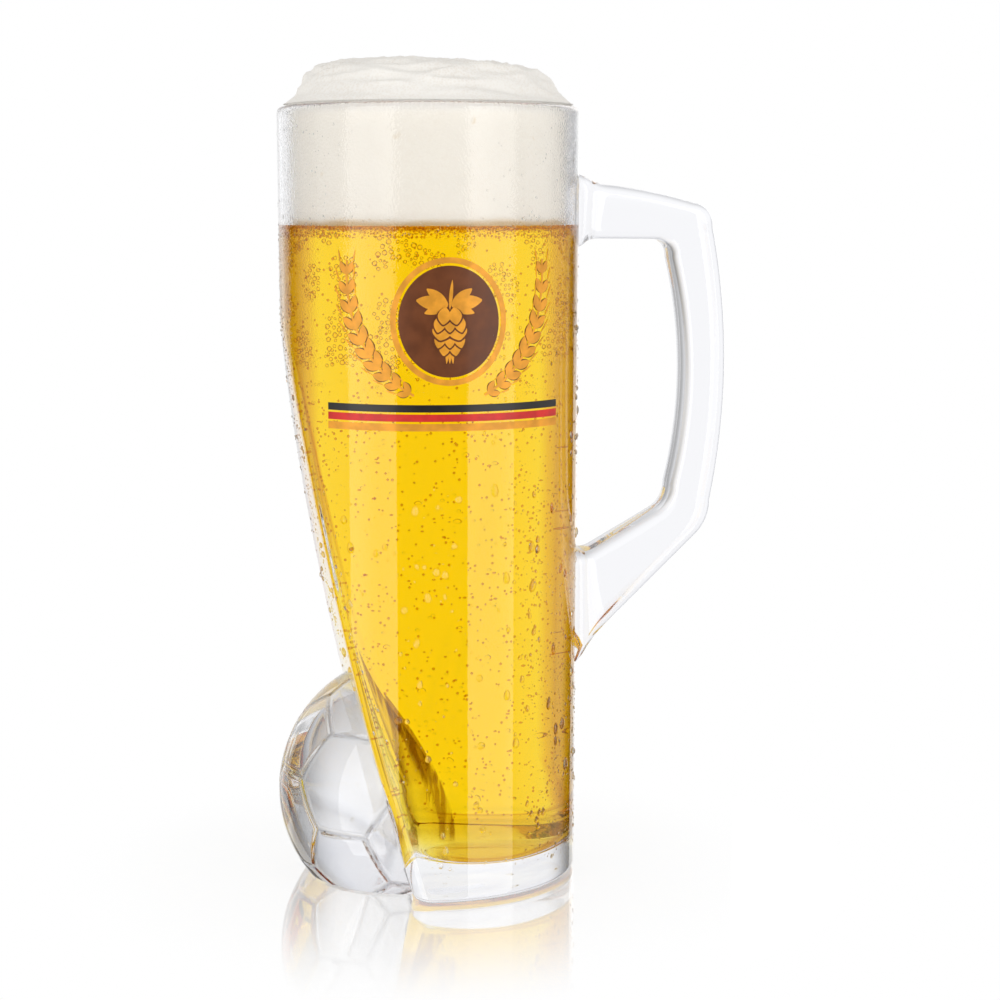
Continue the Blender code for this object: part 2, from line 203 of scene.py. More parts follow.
# %% World
SKY_ON_MATT = 0.38
SKY_ABOVE = 0.42
OVERHEAD_STARTS = 0.35
OVERHEAD_WHOLE = 0.95
DARK_BELOW = 0.02
LIGHT_ABOVE = 0.25
WALL_STARTS = 0.86
WALL_WHOLE = 0.97
VEIL_STARTS = 0.72
VEIL_WHOLE = 0.92
VEIL_LIGHT = 0.70
SIDE_STARTS = 0.52
SIDE_WHOLE = 0.88
SIDES_DIM_CLEAR = 0.74
SIDES_DIM_DRINK = 0.16
PANEL_STARTS = 0.93
PANEL_WHOLE = 0.985
PANEL_LIGHT = 0.75
TABLE_STARTS = 0.30
TABLE_WHOLE = 0.80
TABLE_DIMS_CLEAR = 0.38
MOST_CLEAR_SURFACES = 4.5
NO_MATT_SURFACE = 0.5
FOAM_LIGHT = 1.98
FOAM_SIDE_DIMS = 0.40

world = bpy.data.worlds.new("studio")
scene.world = world
world.use_nodes = True
sky = Wire(world.node_tree)


def ray(fact):
    """What the light path knows of a ray that reaches the world."""
    return sky.node("LightPath", {}, {}, fact)


direction = sky.node("TexCoord", {}, {}, "Generated")
upwards = direction.axis("Z")
backwards = direction.axis("Y")
sideways = sky.node("Math", {"operation": "ABSOLUTE"}, {0: direction.axis("X")})
through_glass = ray("Is Transmission Ray")
mirrored = ray("Is Glossy Ray") * (1 - through_glass)
clear = sky.maths("LESS_THAN", ray("Transmission Depth"), MOST_CLEAR_SURFACES)
on_foam = sky.maths("GREATER_THAN", ray("Diffuse Depth"), NO_MATT_SURFACE)

side_dims = clear * (SIDES_DIM_CLEAR - SIDES_DIM_DRINK) + SIDES_DIM_DRINK
panel = sideways.smooth(PANEL_STARTS, PANEL_WHOLE) * PANEL_LIGHT
beside = sideways.smooth(SIDE_STARTS, SIDE_WHOLE) * (1 - panel)
below = (0 - upwards).smooth(TABLE_STARTS, TABLE_WHOLE)
clear_light = (1 - side_dims * beside) * (1 - clear * TABLE_DIMS_CLEAR * below)
foam_light = (1 - beside * FOAM_SIDE_DIMS) * FOAM_LIGHT
glass_light = clear_light * (1 - on_foam) + foam_light * on_foam
veil = sideways.smooth(VEIL_STARTS, VEIL_WHOLE) * VEIL_LIGHT
behind = backwards.smooth(WALL_STARTS, WALL_WHOLE).largest(veil)
mirror_light = upwards.smooth(DARK_BELOW, LIGHT_ABOVE).largest(behind)
matt_light = upwards.smooth(OVERHEAD_STARTS, OVERHEAD_WHOLE) * SKY_ABOVE + SKY_ON_MATT
seen = ray("Is Camera Ray") + through_glass * glass_light + mirrored * mirror_light
seen = seen + ray("Is Diffuse Ray") * matt_light
background = world.node_tree.nodes["Background"]
background.inputs["Color"].default_value = WHITE
link(seen, background, "Strength")
print("world of", len(world.node_tree.nodes), "nodes")

# %% [markdown]
# ## Softboxes
# Two tall softboxes in front draw the upright pale bands on the wall of the glass, and two narrow ones
# stand behind, for the other side. Between them it is dark to reflections, because a white reflection would
# dull the colour of the drink. Each is an area light that only shows in reflections, with its width in
# metres and its radiance.

# %% Softboxes
SOFTBOX_AWAY = 0.95
SOFTBOX_TALL = 1.9
SOFTBOXES = {
    "softbox_left": (-51.5, 0.66, 1.95),
    "softbox_right": (40.0, 0.66, 1.95),
    "softbox_back_left": (-150.0, 0.34, 1.0),
    "softbox_back_right": (150.0, 0.34, 1.0),
}

for name, (azimuth, width, radiance) in SOFTBOXES.items():
    turn = math.radians(azimuth)
    away = Vector((math.sin(turn), -math.cos(turn), 0.0))
    rotation = (-away).to_track_quat("-Z", "Y").to_euler()
    bpy.ops.object.light_add(type="AREA", location=away * SOFTBOX_AWAY, rotation=rotation)
    softbox = bpy.context.object
    softbox.name = name
    softbox.data.shape = "RECTANGLE"
    softbox.data.size = width
    softbox.data.size_y = SOFTBOX_TALL
    softbox.data.energy = radiance * math.pi * width * SOFTBOX_TALL
    softbox.visible_camera = False
    softbox.visible_transmission = False
print(len(SOFTBOXES), "softboxes")

# %% [markdown]
# ## The floor
# The table is polished white acrylic. Near the mug it takes a soft shadow and mirrors the glass, and both
# fade away from it into plain white. The fades are masks on the floor's own coordinates, so they stay put
# in every view.

# %% Floor
FLOOR_SIZE = 6.0
FLOOR_BELOW_FOOT = 0.0004
FLOOR_PALE = rgba(0.95, 0.95, 0.95)
FLOOR_GLOW = 1.0
SHADOW_SHARE = 0.20
SHADOW_NEAR = 0.03
SHADOW_FAR = 0.10
MIRROR_SHARE = 0.49
MIRROR_NEAR = 0.040
MIRROR_FAR = 0.112
MIRROR_BLUR = 0.03

bpy.ops.mesh.primitive_plane_add(size=FLOOR_SIZE)
floor = bpy.context.object
floor.name = "floor"
floor.data.transform(Matrix.Translation((0.0, 0.0, -FLOOR_BELOW_FOOT)))
plain = {"Base Color": FLOOR_PALE, "Roughness": 1.0, "Specular IOR Level": 0.0}
acrylic, acrylic_shader, wire = finish("white_acrylic", plain)
far = wire.node("VectorMath", {"operation": "LENGTH"}, {0: wire.place()}, "Value")
glow = wire.node("Emission", {}, {"Color": WHITE, "Strength": FLOOR_GLOW})
mirror = wire.node("BsdfGlossy", {}, {"Color": WHITE, "Roughness": MIRROR_BLUR})
shadowed = Wire(wire.tree, acrylic_shader.outputs["BSDF"])
shadow_share = (1 - far.smooth(SHADOW_NEAR, SHADOW_FAR)) * SHADOW_SHARE
mirror_share = (1 - far.smooth(MIRROR_NEAR, MIRROR_FAR)) * MIRROR_SHARE
matt = wire.node("MixShader", {}, {0: shadow_share, 1: glow, 2: shadowed})
polished = wire.node("MixShader", {}, {0: mirror_share, 1: matt, 2: mirror})
link(polished, wire.tree.nodes["Material Output"], "Surface")
floor.data.materials.append(acrylic)
floor.visible_glossy = False
floor.visible_transmission = False
print("floor", FLOOR_SIZE, "m across")

# %% [markdown]
# ## The shape of the glass
# The bowl is a slightly conical tube. One large arc cuts the leg away on a slant, and the corners that this
# leaves are rounded. A horizontal section is then a disc with one flat side, and it can be worked out for
# every height. Modelling that by hand would take a Boolean and a bevel on hundreds of faces, and glass
# shows every uneven facet. So a flat grid is wrapped round a row of such sections instead: its faces are
# even and the glass stays clear. The corners of the cavity grow rounder towards the floor, but never too
# round for the width of the section.

# %% Sizes of the glass
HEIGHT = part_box("mug_body")[1][2]
RIM_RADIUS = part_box("mug_body")[1][0]
FOOT_RADIUS = 0.0376
WALL = 0.0032
BASE_THICKNESS = 0.0080
FOOT_ROUND = 0.0018
CORNER_ROUND = 0.0048
CUT_FOOT_X = -0.0085
CUT_FOOT_ANGLE = math.radians(16.2)
CUT_RADIUS = 0.930
CAVITY_CORNER_ROUND = 0.0080
CAVITY_CORNER_GROWS = 0.0140
CAVITY_CORNER_HEIGHT = 0.082
CAVITY_FLOOR_ROUND = 0.0035
CORNER_FITS = 0.85
FILL_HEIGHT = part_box("beer")[1][2]
ARC_STEPS = 72
CORNER_STEPS = 12
FLAT_STEPS = 14
ROUND_STEPS = 8
WALL_ROWS = 90
ARC_LIMIT = math.radians(140.0)
FLAT_LIMIT = math.radians(150.0)
MERGE = 1e-7


def spread(first, last, steps):
    """Evenly spaced values from first to last, both included."""
    return [first + (last - first) * i / steps for i in range(steps + 1)]


def outer_radius(z):
    return FOOT_RADIUS + (RIM_RADIUS - FOOT_RADIUS) * z / HEIGHT


def cut_lean(z):
    return math.asin(math.sin(CUT_FOOT_ANGLE) - z / CUT_RADIUS)


def cut_x(z):
    return CUT_FOOT_X - CUT_RADIUS * (math.cos(cut_lean(z)) - math.cos(CUT_FOOT_ANGLE))


def outside(z, grow=0.0):
    """Radius, cut and corner rounding of the glass outside at a height, grown outwards if asked."""
    return outer_radius(z) + grow, cut_x(z) - grow / math.cos(cut_lean(z)), CORNER_ROUND


def cavity(z, gap=0.0):
    """Radius, cut and corner rounding of the cavity at a height, or of a filling with a gap round it."""
    share = min(max((CAVITY_CORNER_HEIGHT - z) / (CAVITY_CORNER_HEIGHT - BASE_THICKNESS), 0.0), 1.0)
    corner = CAVITY_CORNER_ROUND + CAVITY_CORNER_GROWS * share**2 * (3 - 2 * share)
    radius = outer_radius(z) - WALL - gap
    cut = cut_x(z) + (WALL + gap) / math.cos(cut_lean(z))
    return radius, cut, min(corner, (radius - cut) / 2 * CORNER_FITS)


def half_flat(radius, cut, corner):
    """Half the length of the flat side of a section, between its rounded corners."""
    return math.sqrt(max((radius - corner) ** 2 - (cut + corner) ** 2, 0.0))


def section_point(angle, centre, radius, cut, corner):
    """Where a ray from (centre, 0) leaves a disc that is cut flat at x = cut, with rounded corners."""
    across = math.cos(angle)
    along = math.sin(angle)
    flat = half_flat(radius, cut, corner)
    if across < 0.0:
        reach = (cut - centre) / across
        if abs(reach * along) <= flat:
            return cut, reach * along
    reach = math.sqrt((centre * across) ** 2 + radius**2 - centre**2) - centre * across
    if (centre + reach * across) * (radius - corner) / radius >= cut + corner:
        return centre + reach * across, reach * along
    from_x = centre - cut - corner
    from_y = -math.copysign(flat, along)
    ahead = from_x * across + from_y * along
    reach = math.sqrt(max(ahead**2 - from_x**2 - from_y**2 + corner**2, 0.0)) - ahead
    return centre + reach * across, reach * along


def ring(z, radius, cut, corner):
    """One horizontal section of the glass as a loop of points that keeps to its corners."""
    cut = max(cut, -radius)
    centre = (radius + cut) / 2
    flat = half_flat(radius, cut, corner)
    grown = radius / (radius - corner)
    arc_end = min(math.atan2(flat * grown, (cut + corner) * grown - centre), ARC_LIMIT)
    flat_start = min(math.atan2(flat, cut - centre), FLAT_LIMIT)
    half = spread(0.0, arc_end, ARC_STEPS)
    half += spread(arc_end, flat_start, CORNER_STEPS)[1:]
    half += spread(flat_start, math.pi, FLAT_STEPS)[1:]
    angles = half + [-angle for angle in reversed(half[1:-1])]
    return [(*section_point(angle, centre, radius, cut, corner), z) for angle in angles]


def drawn_in(z, section, inset):
    """A ring of a section that is drawn in all round, as on a rounded edge."""
    radius, cut, corner = section
    return ring(z, radius - inset, cut + inset, max(corner - inset, corner / 2))


def rounded_levels(low, rounding):
    """Heights and insets up a rounded lower edge, from its flat to its side."""
    turns = [i * math.pi / 2 / ROUND_STEPS for i in range(ROUND_STEPS)]
    return [(low + rounding * (1 - math.cos(turn)), rounding * (1 - math.sin(turn))) for turn in turns]


def cavity_rings(top, gap):
    """Rings of the cavity, or of its filling, from the floor up to a height."""
    floor_z = BASE_THICKNESS + gap
    rings = [drawn_in(z, cavity(z, gap), inset) for z, inset in rounded_levels(floor_z, CAVITY_FLOOR_ROUND)]
    return rings + [ring(z, *cavity(z, gap)) for z in spread(floor_z + CAVITY_FLOOR_ROUND, top, WALL_ROWS)]


def weld(closed):
    """Merges the points of the active mesh that meet, closes it if asked, and turns its faces outwards."""
    bpy.ops.object.mode_set(mode="EDIT")
    bpy.ops.mesh.select_all(action="SELECT")
    bpy.ops.mesh.remove_doubles(threshold=MERGE)
    if closed:
        bpy.ops.mesh.fill_holes(sides=0)
    bpy.ops.mesh.normals_make_consistent(inside=False)
    bpy.ops.object.mode_set(mode="OBJECT")


def cut_below(z):
    """Cuts the active mesh off below a height, and closes it with a flat face."""
    bpy.ops.object.mode_set(mode="EDIT")
    bpy.ops.mesh.select_all(action="SELECT")
    bpy.ops.mesh.bisect(plane_co=(0.0, 0.0, z), plane_no=(0.0, 0.0, 1.0), clear_inner=True, use_fill=True)
    bpy.ops.object.mode_set(mode="OBJECT")


def pick(pieces):
    """Selects these pieces and no others, with the first as the active one."""
    bpy.ops.object.select_all(action="DESELECT")
    for piece in pieces:
        piece.select_set(True)
    bpy.context.view_layer.objects.active = pieces[0]


def wrapped(name, rings, row_finishes=()):
    """Wraps a flat grid round a row of rings and closes it. Each row of faces may have its own finish."""
    rows = len(rings) - 1
    columns = len(rings[0])
    bpy.ops.object.select_all(action="DESELECT")
    bpy.ops.mesh.primitive_grid_add(x_subdivisions=columns, y_subdivisions=rows, size=1.0)
    sheet = bpy.context.object
    sheet.name = name
    for face in sheet.data.polygons:
        row = math.floor((face.center.y + 0.5) * rows)
        face.material_index = row_finishes[row] if row_finishes else 0
    for vert in sheet.data.vertices:
        column = round((vert.co.x + 0.5) * columns) % columns
        vert.co = rings[round((vert.co.y + 0.5) * rows)][column]
    weld(closed=True)
    bpy.ops.object.shade_smooth()
    return sheet


def dress(piece, nodes, slot, *finishes):
    """Gives a finished piece its materials, its place on the part and the solids it stands for."""
    for made in finishes:
        piece.data.materials.append(made)
    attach(piece, "root")
    if nodes:
        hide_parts(*nodes)
    print(piece.name, len(piece.data.polygons), "faces")


# %% [markdown]
# ## Clear glass
# Pressed glass is almost colourless. Light bends strongly at its edges, and a thick wall shows a faint grey
# tint there; on top of it, painted shade darkens the glass where its surface is seen steeply, standing in
# for the dark sides of the room that the edges show. A cold mug is misted with fine dew: tiny cells that
# ruffle the surface. The thick base shows faint lines of flow, and painted shade makes the stitched seams of
# the ball greyer than its panels.

# %% Clear glass finishes
GLASS_BENDS = 1.50
# Painted edge shade for the wall, the handle and the ball: grey where the glass is seen edge on. The handle
# and the ball also keep a faint tone of their own face on.
WALL_PAINTED_EDGE_SHADE = [
    (0.0, (1.0, 1.0, 1.0)),
    (0.55, (0.97, 0.97, 0.98)),
    (0.80, (0.74, 0.75, 0.79)),
    (1.0, (0.62, 0.63, 0.67)),
]
SOLID_TONE_AND_PAINTED_EDGE_SHADE = [
    (0.0, (0.97, 0.973, 0.998)),
    (0.45, (0.94, 0.946, 0.975)),
    (0.72, (0.72, 0.73, 0.78)),
    (1.0, (0.46, 0.47, 0.52)),
]
BALL_TONE_AND_PAINTED_EDGE_SHADE = [
    (0.0, (0.97, 0.972, 0.985)),
    (0.50, (0.93, 0.935, 0.95)),
    (0.75, (0.62, 0.61, 0.60)),
    (1.0, (0.38, 0.37, 0.36)),
]
# Painted shade for the seams of the ball, as in their grooves.
SEAM_PAINTED_SHADE = rgba(0.40, 0.40, 0.42)
DEW_CELLS = 2100.0
DEW_DEPTH = 0.00012
DEW_STRENGTH = 0.35
DEW_STARTS = HEIGHT * 0.55
DEW_WHOLE = HEIGHT * 0.85
BASE_TINT = rgba(0.80, 0.81, 0.86)
BASE_ENDS = BASE_THICKNESS * 1.4
FLOW_LINES = (45.0, 45.0, 420.0)
FLOW_DETAIL = 3.0
FLOW_PALE = 0.25
FLOW_DARK = 0.75


def glass_look(name, bends):
    """A clear finish that bends light, without its tint."""
    return finish(name, {"Roughness": 0.0, "IOR": bends, "Transmission Weight": 1.0})


def misted_tint(wire, shader, tone_and_painted_shade):
    """Ruffles the upper glass with dew, and draws lines of flow in the tint of the base."""
    place = wire.place()
    z = place.axis("Z")
    sockets = {"Vector": place, "Scale": DEW_CELLS}
    cells = wire.node("TexVoronoi", {"feature": "SMOOTH_F1"}, sockets, "Distance")
    dew = z.smooth(DEW_STARTS, DEW_WHOLE) * (1 - cells)
    ruffle(dew, shader, DEW_STRENGTH, DEW_DEPTH)
    flow = wire.node("Mapping", {}, {"Vector": place, "Scale": FLOW_LINES})
    lines = flow.clouds(1.0, FLOW_DETAIL).smooth(FLOW_PALE, FLOW_DARK)
    return ((1 - z.smooth(BASE_THICKNESS, BASE_ENDS)) * lines).mixed(tone_and_painted_shade, BASE_TINT)


def clear_glass(name, edge, misted=False, stitched=False):
    """Glass with a faint blue tone, painted shade on its edges, and dew or painted shade in its seams if
    asked.
    """
    made, shader, wire = glass_look(name, GLASS_BENDS)
    tone_and_painted_shade = wire.painted_edge_shade(edge)
    if misted:
        tone_and_painted_shade = misted_tint(wire, shader, tone_and_painted_shade)
    if stitched:
        # Painted shade in the seams, by the attribute that keeps how deep in a seam each point lies.
        tone_and_painted_shade = wire.node("Attribute", {"attribute_name": "seam"}, {}, "Fac").mixed(tone_and_painted_shade, SEAM_PAINTED_SHADE)
    link(tone_and_painted_shade, shader, "Base Color")
    return made


wall_glass = clear_glass("mug_glass", WALL_PAINTED_EDGE_SHADE, misted=True)
solid_glass = clear_glass("solid_glass", SOLID_TONE_AND_PAINTED_EDGE_SHADE)
stitched_glass = clear_glass("stitched_glass", BALL_TONE_AND_PAINTED_EDGE_SHADE, stitched=True)
foam_glass, foam_glass_shader, _ = glass_look("glass_on_foam", GLASS_BENDS)
foam_glass_shader.inputs["Base Color"].default_value = WHITE
print("clear finishes:", wall_glass.name, solid_glass.name, stitched_glass.name, foam_glass.name)

# %% [markdown]
# ## Glass against the drink
# Where beer wets the glass, light bends less. Near the edges of the bowl the drink is seen through more
# glass, and painted amber shade darkens it where the surface is seen steeply. A brown belt lies under the
# foam. In the corner of the leg the thick glass shows a dark, streaky patch in the shape of a leaf.
# Refraction alone didn't give that patch, so it is painted shade: its right edge is a curve, its left edge a
# straight line, and both have a darker rim.

# %% Finish of the glass against the drink
BEER_BENDS = 1.34
WET_PAINTED_AMBER_SHADE = [
    # Painted shade: amber that darkens the drink where the wet glass is seen steeply.
    (0.0, (1.0, 1.0, 1.0)),
    (0.205, (1.0, 1.0, 1.0)),
    (0.245, (0.76, 0.52, 0.28)),
    (0.290, (0.58, 0.35, 0.16)),
    (0.33, (0.84, 0.70, 0.50)),
    (0.60, (0.84, 0.68, 0.42)),
    (1.0, (0.50, 0.34, 0.16)),
]
AMBER_LOW = 0.068
AMBER_HIGH = 0.100
AMBER_LEAST = 0.2
BELT_TINT = rgba(0.55, 0.27, 0.05)
BELT_WAVES = 420.0
BELT_WAVE_HEIGHT = 0.0016
BELT_LOW = FILL_HEIGHT - 0.0008
BELT_HIGH = FILL_HEIGHT + 0.0002
# Painted shade of the leaf-shaped patch in the corner of the leg, and of its darker rims.
LEAF_PAINTED_SHADE = rgba(0.75, 0.67, 0.58)
LEAF_RIM_PAINTED_SHADE = rgba(0.24, 0.13, 0.04)
LEAF_LOW = 0.017
LEAF_UNIT = 0.001
LEAF_BEND = 1.59
LEAF_RUN = -0.0000555
LEAF_RIGHT_X = 0.0019
LEAF_LEFT_X = -0.0040
LEAF_LEFT_SLOPE = -0.214
LEAF_SOFT_EDGE = 0.0005
LEAF_FADES = (0.0135, 0.0170)
LEAF_TURN = (0.0, math.radians(-22.0), 0.0)
LEAF_GRAIN = (620.0, 200.0, 45.0)
STREAKS = (0.42, 0.56)
STREAKS_LEAST = 0.2
RIGHT_RIM = (0.0030, 0.0056)
LEFT_RIM = (0.0012, 0.0030)
LEFT_RIM_RAGGED = 0.001
LEFT_RIM_SHARE = 0.8
LEAF_TIP = (0.0480, 0.0500)
LEAF_TIP_RAGGED = 0.004
LEAF_TIP_SHARE = 0.75


def painted_leaf_shade(wire, place, tone_and_painted_shade):
    """The leaf-shaped patch of painted shade in the corner of the leg, laid over the colour below it."""
    x = place.axis("X")
    z = place.axis("Z")
    above = ((z - LEAF_LOW) * (1 / LEAF_UNIT)).largest(0.0)
    from_right = wire.maths("POWER", above, LEAF_BEND) * LEAF_RUN + LEAF_RIGHT_X - x
    from_left = x - z * LEAF_LEFT_SLOPE - LEAF_LEFT_X
    leaf = from_right.smooth(0.0, LEAF_SOFT_EDGE) * from_left.smooth(0.0, LEAF_SOFT_EDGE)
    leaf = leaf * z.smooth(*LEAF_FADES)
    grain_place = wire.node("Mapping", {}, {"Vector": place, "Rotation": LEAF_TURN, "Scale": LEAF_GRAIN})
    grain = grain_place.clouds(1.0)
    streaks = grain.smooth(*STREAKS) * (1 - STREAKS_LEAST) + STREAKS_LEAST
    right_rim = (1 - from_right.smooth(*RIGHT_RIM)) * streaks
    left_rim = (1 - (from_left + grain * LEFT_RIM_RAGGED).smooth(*LEFT_RIM)) * LEFT_RIM_SHARE
    tip = (z + grain * LEAF_TIP_RAGGED).smooth(*LEAF_TIP) * LEAF_TIP_SHARE
    rims = right_rim.largest(left_rim.largest(tip))
    return (leaf * rims).mixed(leaf.mixed(tone_and_painted_shade, LEAF_PAINTED_SHADE), LEAF_RIM_PAINTED_SHADE)


def drink_side():
    """Glass against beer: painted amber shade where it is seen steeply, a belt under the foam, and painted
    shade in the corner of the leg.
    """
    made, shader, wire = glass_look("glass_on_beer", GLASS_BENDS / BEER_BENDS)
    place = wire.place()
    z = place.axis("Z")
    # Share of the painted amber shade: whole high on the bowl and on its handle side, a least share
    # elsewhere.
    painted_amber_share = z.smooth(AMBER_LOW, AMBER_HIGH).largest(place.axis("X").smooth(-WALL, WALL))
    painted_amber_share = painted_amber_share * (1 - AMBER_LEAST) + AMBER_LEAST
    tone_and_painted_shade = painted_leaf_shade(wire, place, painted_amber_share.mixed(WHITE, wire.painted_edge_shade(WET_PAINTED_AMBER_SHADE)))
    belt = (z + place.clouds(BELT_WAVES) * BELT_WAVE_HEIGHT).smooth(BELT_LOW, BELT_HIGH)
    link(belt.mixed(tone_and_painted_shade, BELT_TINT), shader, "Base Color")
    return made


wet_glass = drink_side()
print("wet finish:", wet_glass.name)

# %% [markdown]
# ## The bowl and leg
# One vessel: a rounded foot, a straight wall outside, a round rim, and the cavity with its own rounded
# floor. The faces that the drink wets get finishes of their own, because glass bends light less against
# beer than against air.

# %% Bowl and leg
RIM_STEPS = 14
LEVEL = 0.99
OUTER = 0
WET = 1
FOAMY = 2


def make_mug_glass():
    bead = WALL / 2
    shoulder = HEIGHT - bead
    rings = [drawn_in(z, outside(z), inset) for z, inset in rounded_levels(0.0, FOOT_ROUND)]
    rings += [ring(z, *outside(z)) for z in spread(FOOT_ROUND, shoulder, WALL_ROWS)]
    for step in range(1, RIM_STEPS):
        turn = math.pi * step / RIM_STEPS
        radius = outer_radius(shoulder) - bead + bead * math.cos(turn)
        rings.append(ring(shoulder + bead * math.sin(turn), radius, -radius, CORNER_ROUND))
    finishes = [OUTER] * len(rings)
    inner = list(reversed(cavity_rings(FILL_HEIGHT, 0.0)))
    neck = spread(shoulder, FILL_HEIGHT, ROUND_STEPS)[:-1]
    rings += [ring(z, *cavity(z)) for z in neck]
    finishes += [FOAMY] * len(neck)
    rings += inner
    finishes += [WET] * (len(inner) - 1)
    glass = wrapped("mug_glass", rings, finishes)
    for face in glass.data.polygons:
        if face.normal.z > LEVEL and abs(face.center.z - BASE_THICKNESS) < MERGE:
            face.material_index = WET
    return glass


dress(make_mug_glass(), ["mug_body"], "clear_glass", wall_glass, wet_glass, foam_glass)

# %% [markdown]
# ## The handle
# A bent bar of glass with rounded edges, thick at both roots, where it is fused to the bowl. Its inner and
# outer edges are drawn as straight runs with rounded corners, and the bar's section is swept between them.
# Each end is laid on the wall of the bowl and sinks into it by a hair, so that no air shows in the joint.

# %% Handle
HANDLE_BELOW_RIM = 0.0190
HANDLE_TOP = HEIGHT - HANDLE_BELOW_RIM
HANDLE_SPAN = 0.1229
HANDLE_BOTTOM = HANDLE_TOP - HANDLE_SPAN
HANDLE_WIDTH = 0.0140
HANDLE_EDGE_ROUND = 0.0034
MOST_ROUND_PER_DEPTH = 0.45
TOP_ARM_DEPTH = 0.0142
TOP_ARM_FALL = 0.0058
TOP_ARM_END_DEPTH = 0.0086
TOP_ARM_CROWN = 0.0009
LOWER_ARM_DEPTH = 0.0255
LOWER_ARM_RISE = 0.0347
LOWER_ARM_END_DEPTH = 0.0050
FINGER_GAP = 0.0280
GRIP_DEPTH = 0.0108
GRIP_BOW = 0.0036
INNER_CORNER_REACH = 0.0050
OUTER_CORNER_REACH = 0.0055
PAD_FLARE = 0.0022
PAD_LENGTH = 0.0060
ARM_STEPS = 26
GRIP_STEPS = 40
BEND_STEPS = 12
FUSED_DEPTH = 0.0002
ROOT_SHARES = (0.02, 0.3, 0.6, 0.85)


def swell(share):
    """A smooth swelling along a run: nothing at both ends and whole in the middle."""
    return 4 * share * (1 - share)


def bend(before, corner, after, reach):
    """A rounded corner between two straight runs, as points from one run to the other."""
    start = corner + (before - corner).normalized() * reach
    end = corner + (after - corner).normalized() * reach
    shares = spread(0.0, 1.0, BEND_STEPS)
    return [start * (1 - s) ** 2 + corner * 2 * s * (1 - s) + end * s**2 for s in shares]


def handle_outline(wall_top, corner_top, corner_low, wall_low, crown, reach):
    """One edge of the handle in the XZ plane, from the wall round the grip and back to the wall."""
    upper = bend(wall_top, corner_top, corner_low, reach)
    lower = bend(corner_top, corner_low, wall_low, reach)
    points = []
    for share in spread(0.0, 1.0, ARM_STEPS):
        points.append(wall_top.lerp(upper[0], share) + Vector((0.0, crown * swell(share))))
    points += upper[1:]
    for share in spread(0.0, 1.0, GRIP_STEPS)[1:]:
        points.append(upper[-1].lerp(lower[0], share) + Vector((GRIP_BOW * swell(share), 0.0)))
    points += lower[1:]
    points += [lower[-1].lerp(wall_low, share) for share in spread(0.0, 1.0, ARM_STEPS)[1:]]
    return points


def handle_section(inner, outer, width):
    """A rounded oblong between the two edges of the handle, as a loop of points."""
    depth = (outer - inner).length
    rounding = min(HANDLE_EDGE_ROUND, MOST_ROUND_PER_DEPTH * min(depth, width))
    towards = (outer - inner) / depth
    middle = (inner + outer) / 2
    loop = []
    for corner in range(4):
        for share in spread(0.0, 1.0, ROUND_STEPS):
            turn = (corner + share) * math.pi / 2
            side_x = 1 if corner in (0, 3) else -1
            side_y = 1 if corner < 2 else -1
            along = side_x * (depth / 2 - rounding) + rounding * math.cos(turn)
            y = side_y * (width / 2 - rounding) + rounding * math.sin(turn)
            place = middle + towards * along
            loop.append(Vector((place.x, y, place.y)))
    return loop


def laid_on_wall(loop, share):
    """A loop drawn in towards its middle and laid on the wall of the bowl."""
    middle = sum(loop, Vector()) / len(loop)
    laid = []
    for point in loop:
        drawn = middle.lerp(point, share)
        radius = outer_radius(drawn.z) - FUSED_DEPTH
        laid.append(Vector((math.sqrt(radius**2 - drawn.y**2), drawn.y, drawn.z)))
    return laid


def wall_point(z):
    return Vector((outer_radius(z), z))


def make_handle_glass():
    inner_x = outer_radius(HANDLE_TOP) + FINGER_GAP - GRIP_BOW
    outer_x = inner_x + GRIP_DEPTH
    top_corner_z = HANDLE_TOP - TOP_ARM_FALL
    low_corner_z = HANDLE_BOTTOM + LOWER_ARM_RISE
    outer = handle_outline(
        wall_point(HANDLE_TOP),
        Vector((outer_x, top_corner_z)),
        Vector((outer_x, low_corner_z)),
        wall_point(HANDLE_BOTTOM),
        TOP_ARM_CROWN,
        OUTER_CORNER_REACH,
    )
    inner = handle_outline(
        wall_point(HANDLE_TOP - TOP_ARM_DEPTH),
        Vector((inner_x, top_corner_z - TOP_ARM_END_DEPTH)),
        Vector((inner_x, low_corner_z + LOWER_ARM_END_DEPTH)),
        wall_point(HANDLE_BOTTOM + LOWER_ARM_DEPTH),
        0.0,
        INNER_CORNER_REACH,
    )
    loops = []
    for inside_edge, outside_edge in zip(inner, outer):
        middle = (inside_edge + outside_edge) / 2
        away = max(middle.x - outer_radius(middle.y), 0.0)
        flare = PAD_FLARE * max(1 - away / PAD_LENGTH, 0.0) ** 2
        out = (outside_edge - inside_edge).normalized() * flare
        loops.append(handle_section(inside_edge - out, outside_edge + out, HANDLE_WIDTH + 2 * flare))
    first = [laid_on_wall(loops[0], share) for share in ROOT_SHARES]
    last = [laid_on_wall(loops[-1], share) for share in reversed(ROOT_SHARES)]
    loops[0] = laid_on_wall(loops[0], 1.0)
    loops[-1] = laid_on_wall(loops[-1], 1.0)
    return wrapped("handle_glass", first + loops + last)


dress(make_handle_glass(), ["handle"], "clear_glass", solid_glass)

# %% [markdown]
# ## The football
# A solid glass ball with the classic panels of a football: twelve with five sides and twenty with six. An
# icosphere is fine enough to carry the stitched seams as real grooves. Each of its points looks up the two
# panels that it is nearest to, and sinks where it lies between them. Below, the ball is cut flat, and the
# leg is taken out of its side. An attribute keeps how deep in a seam each point lies, and the finish paints
# shade into the seams by it.

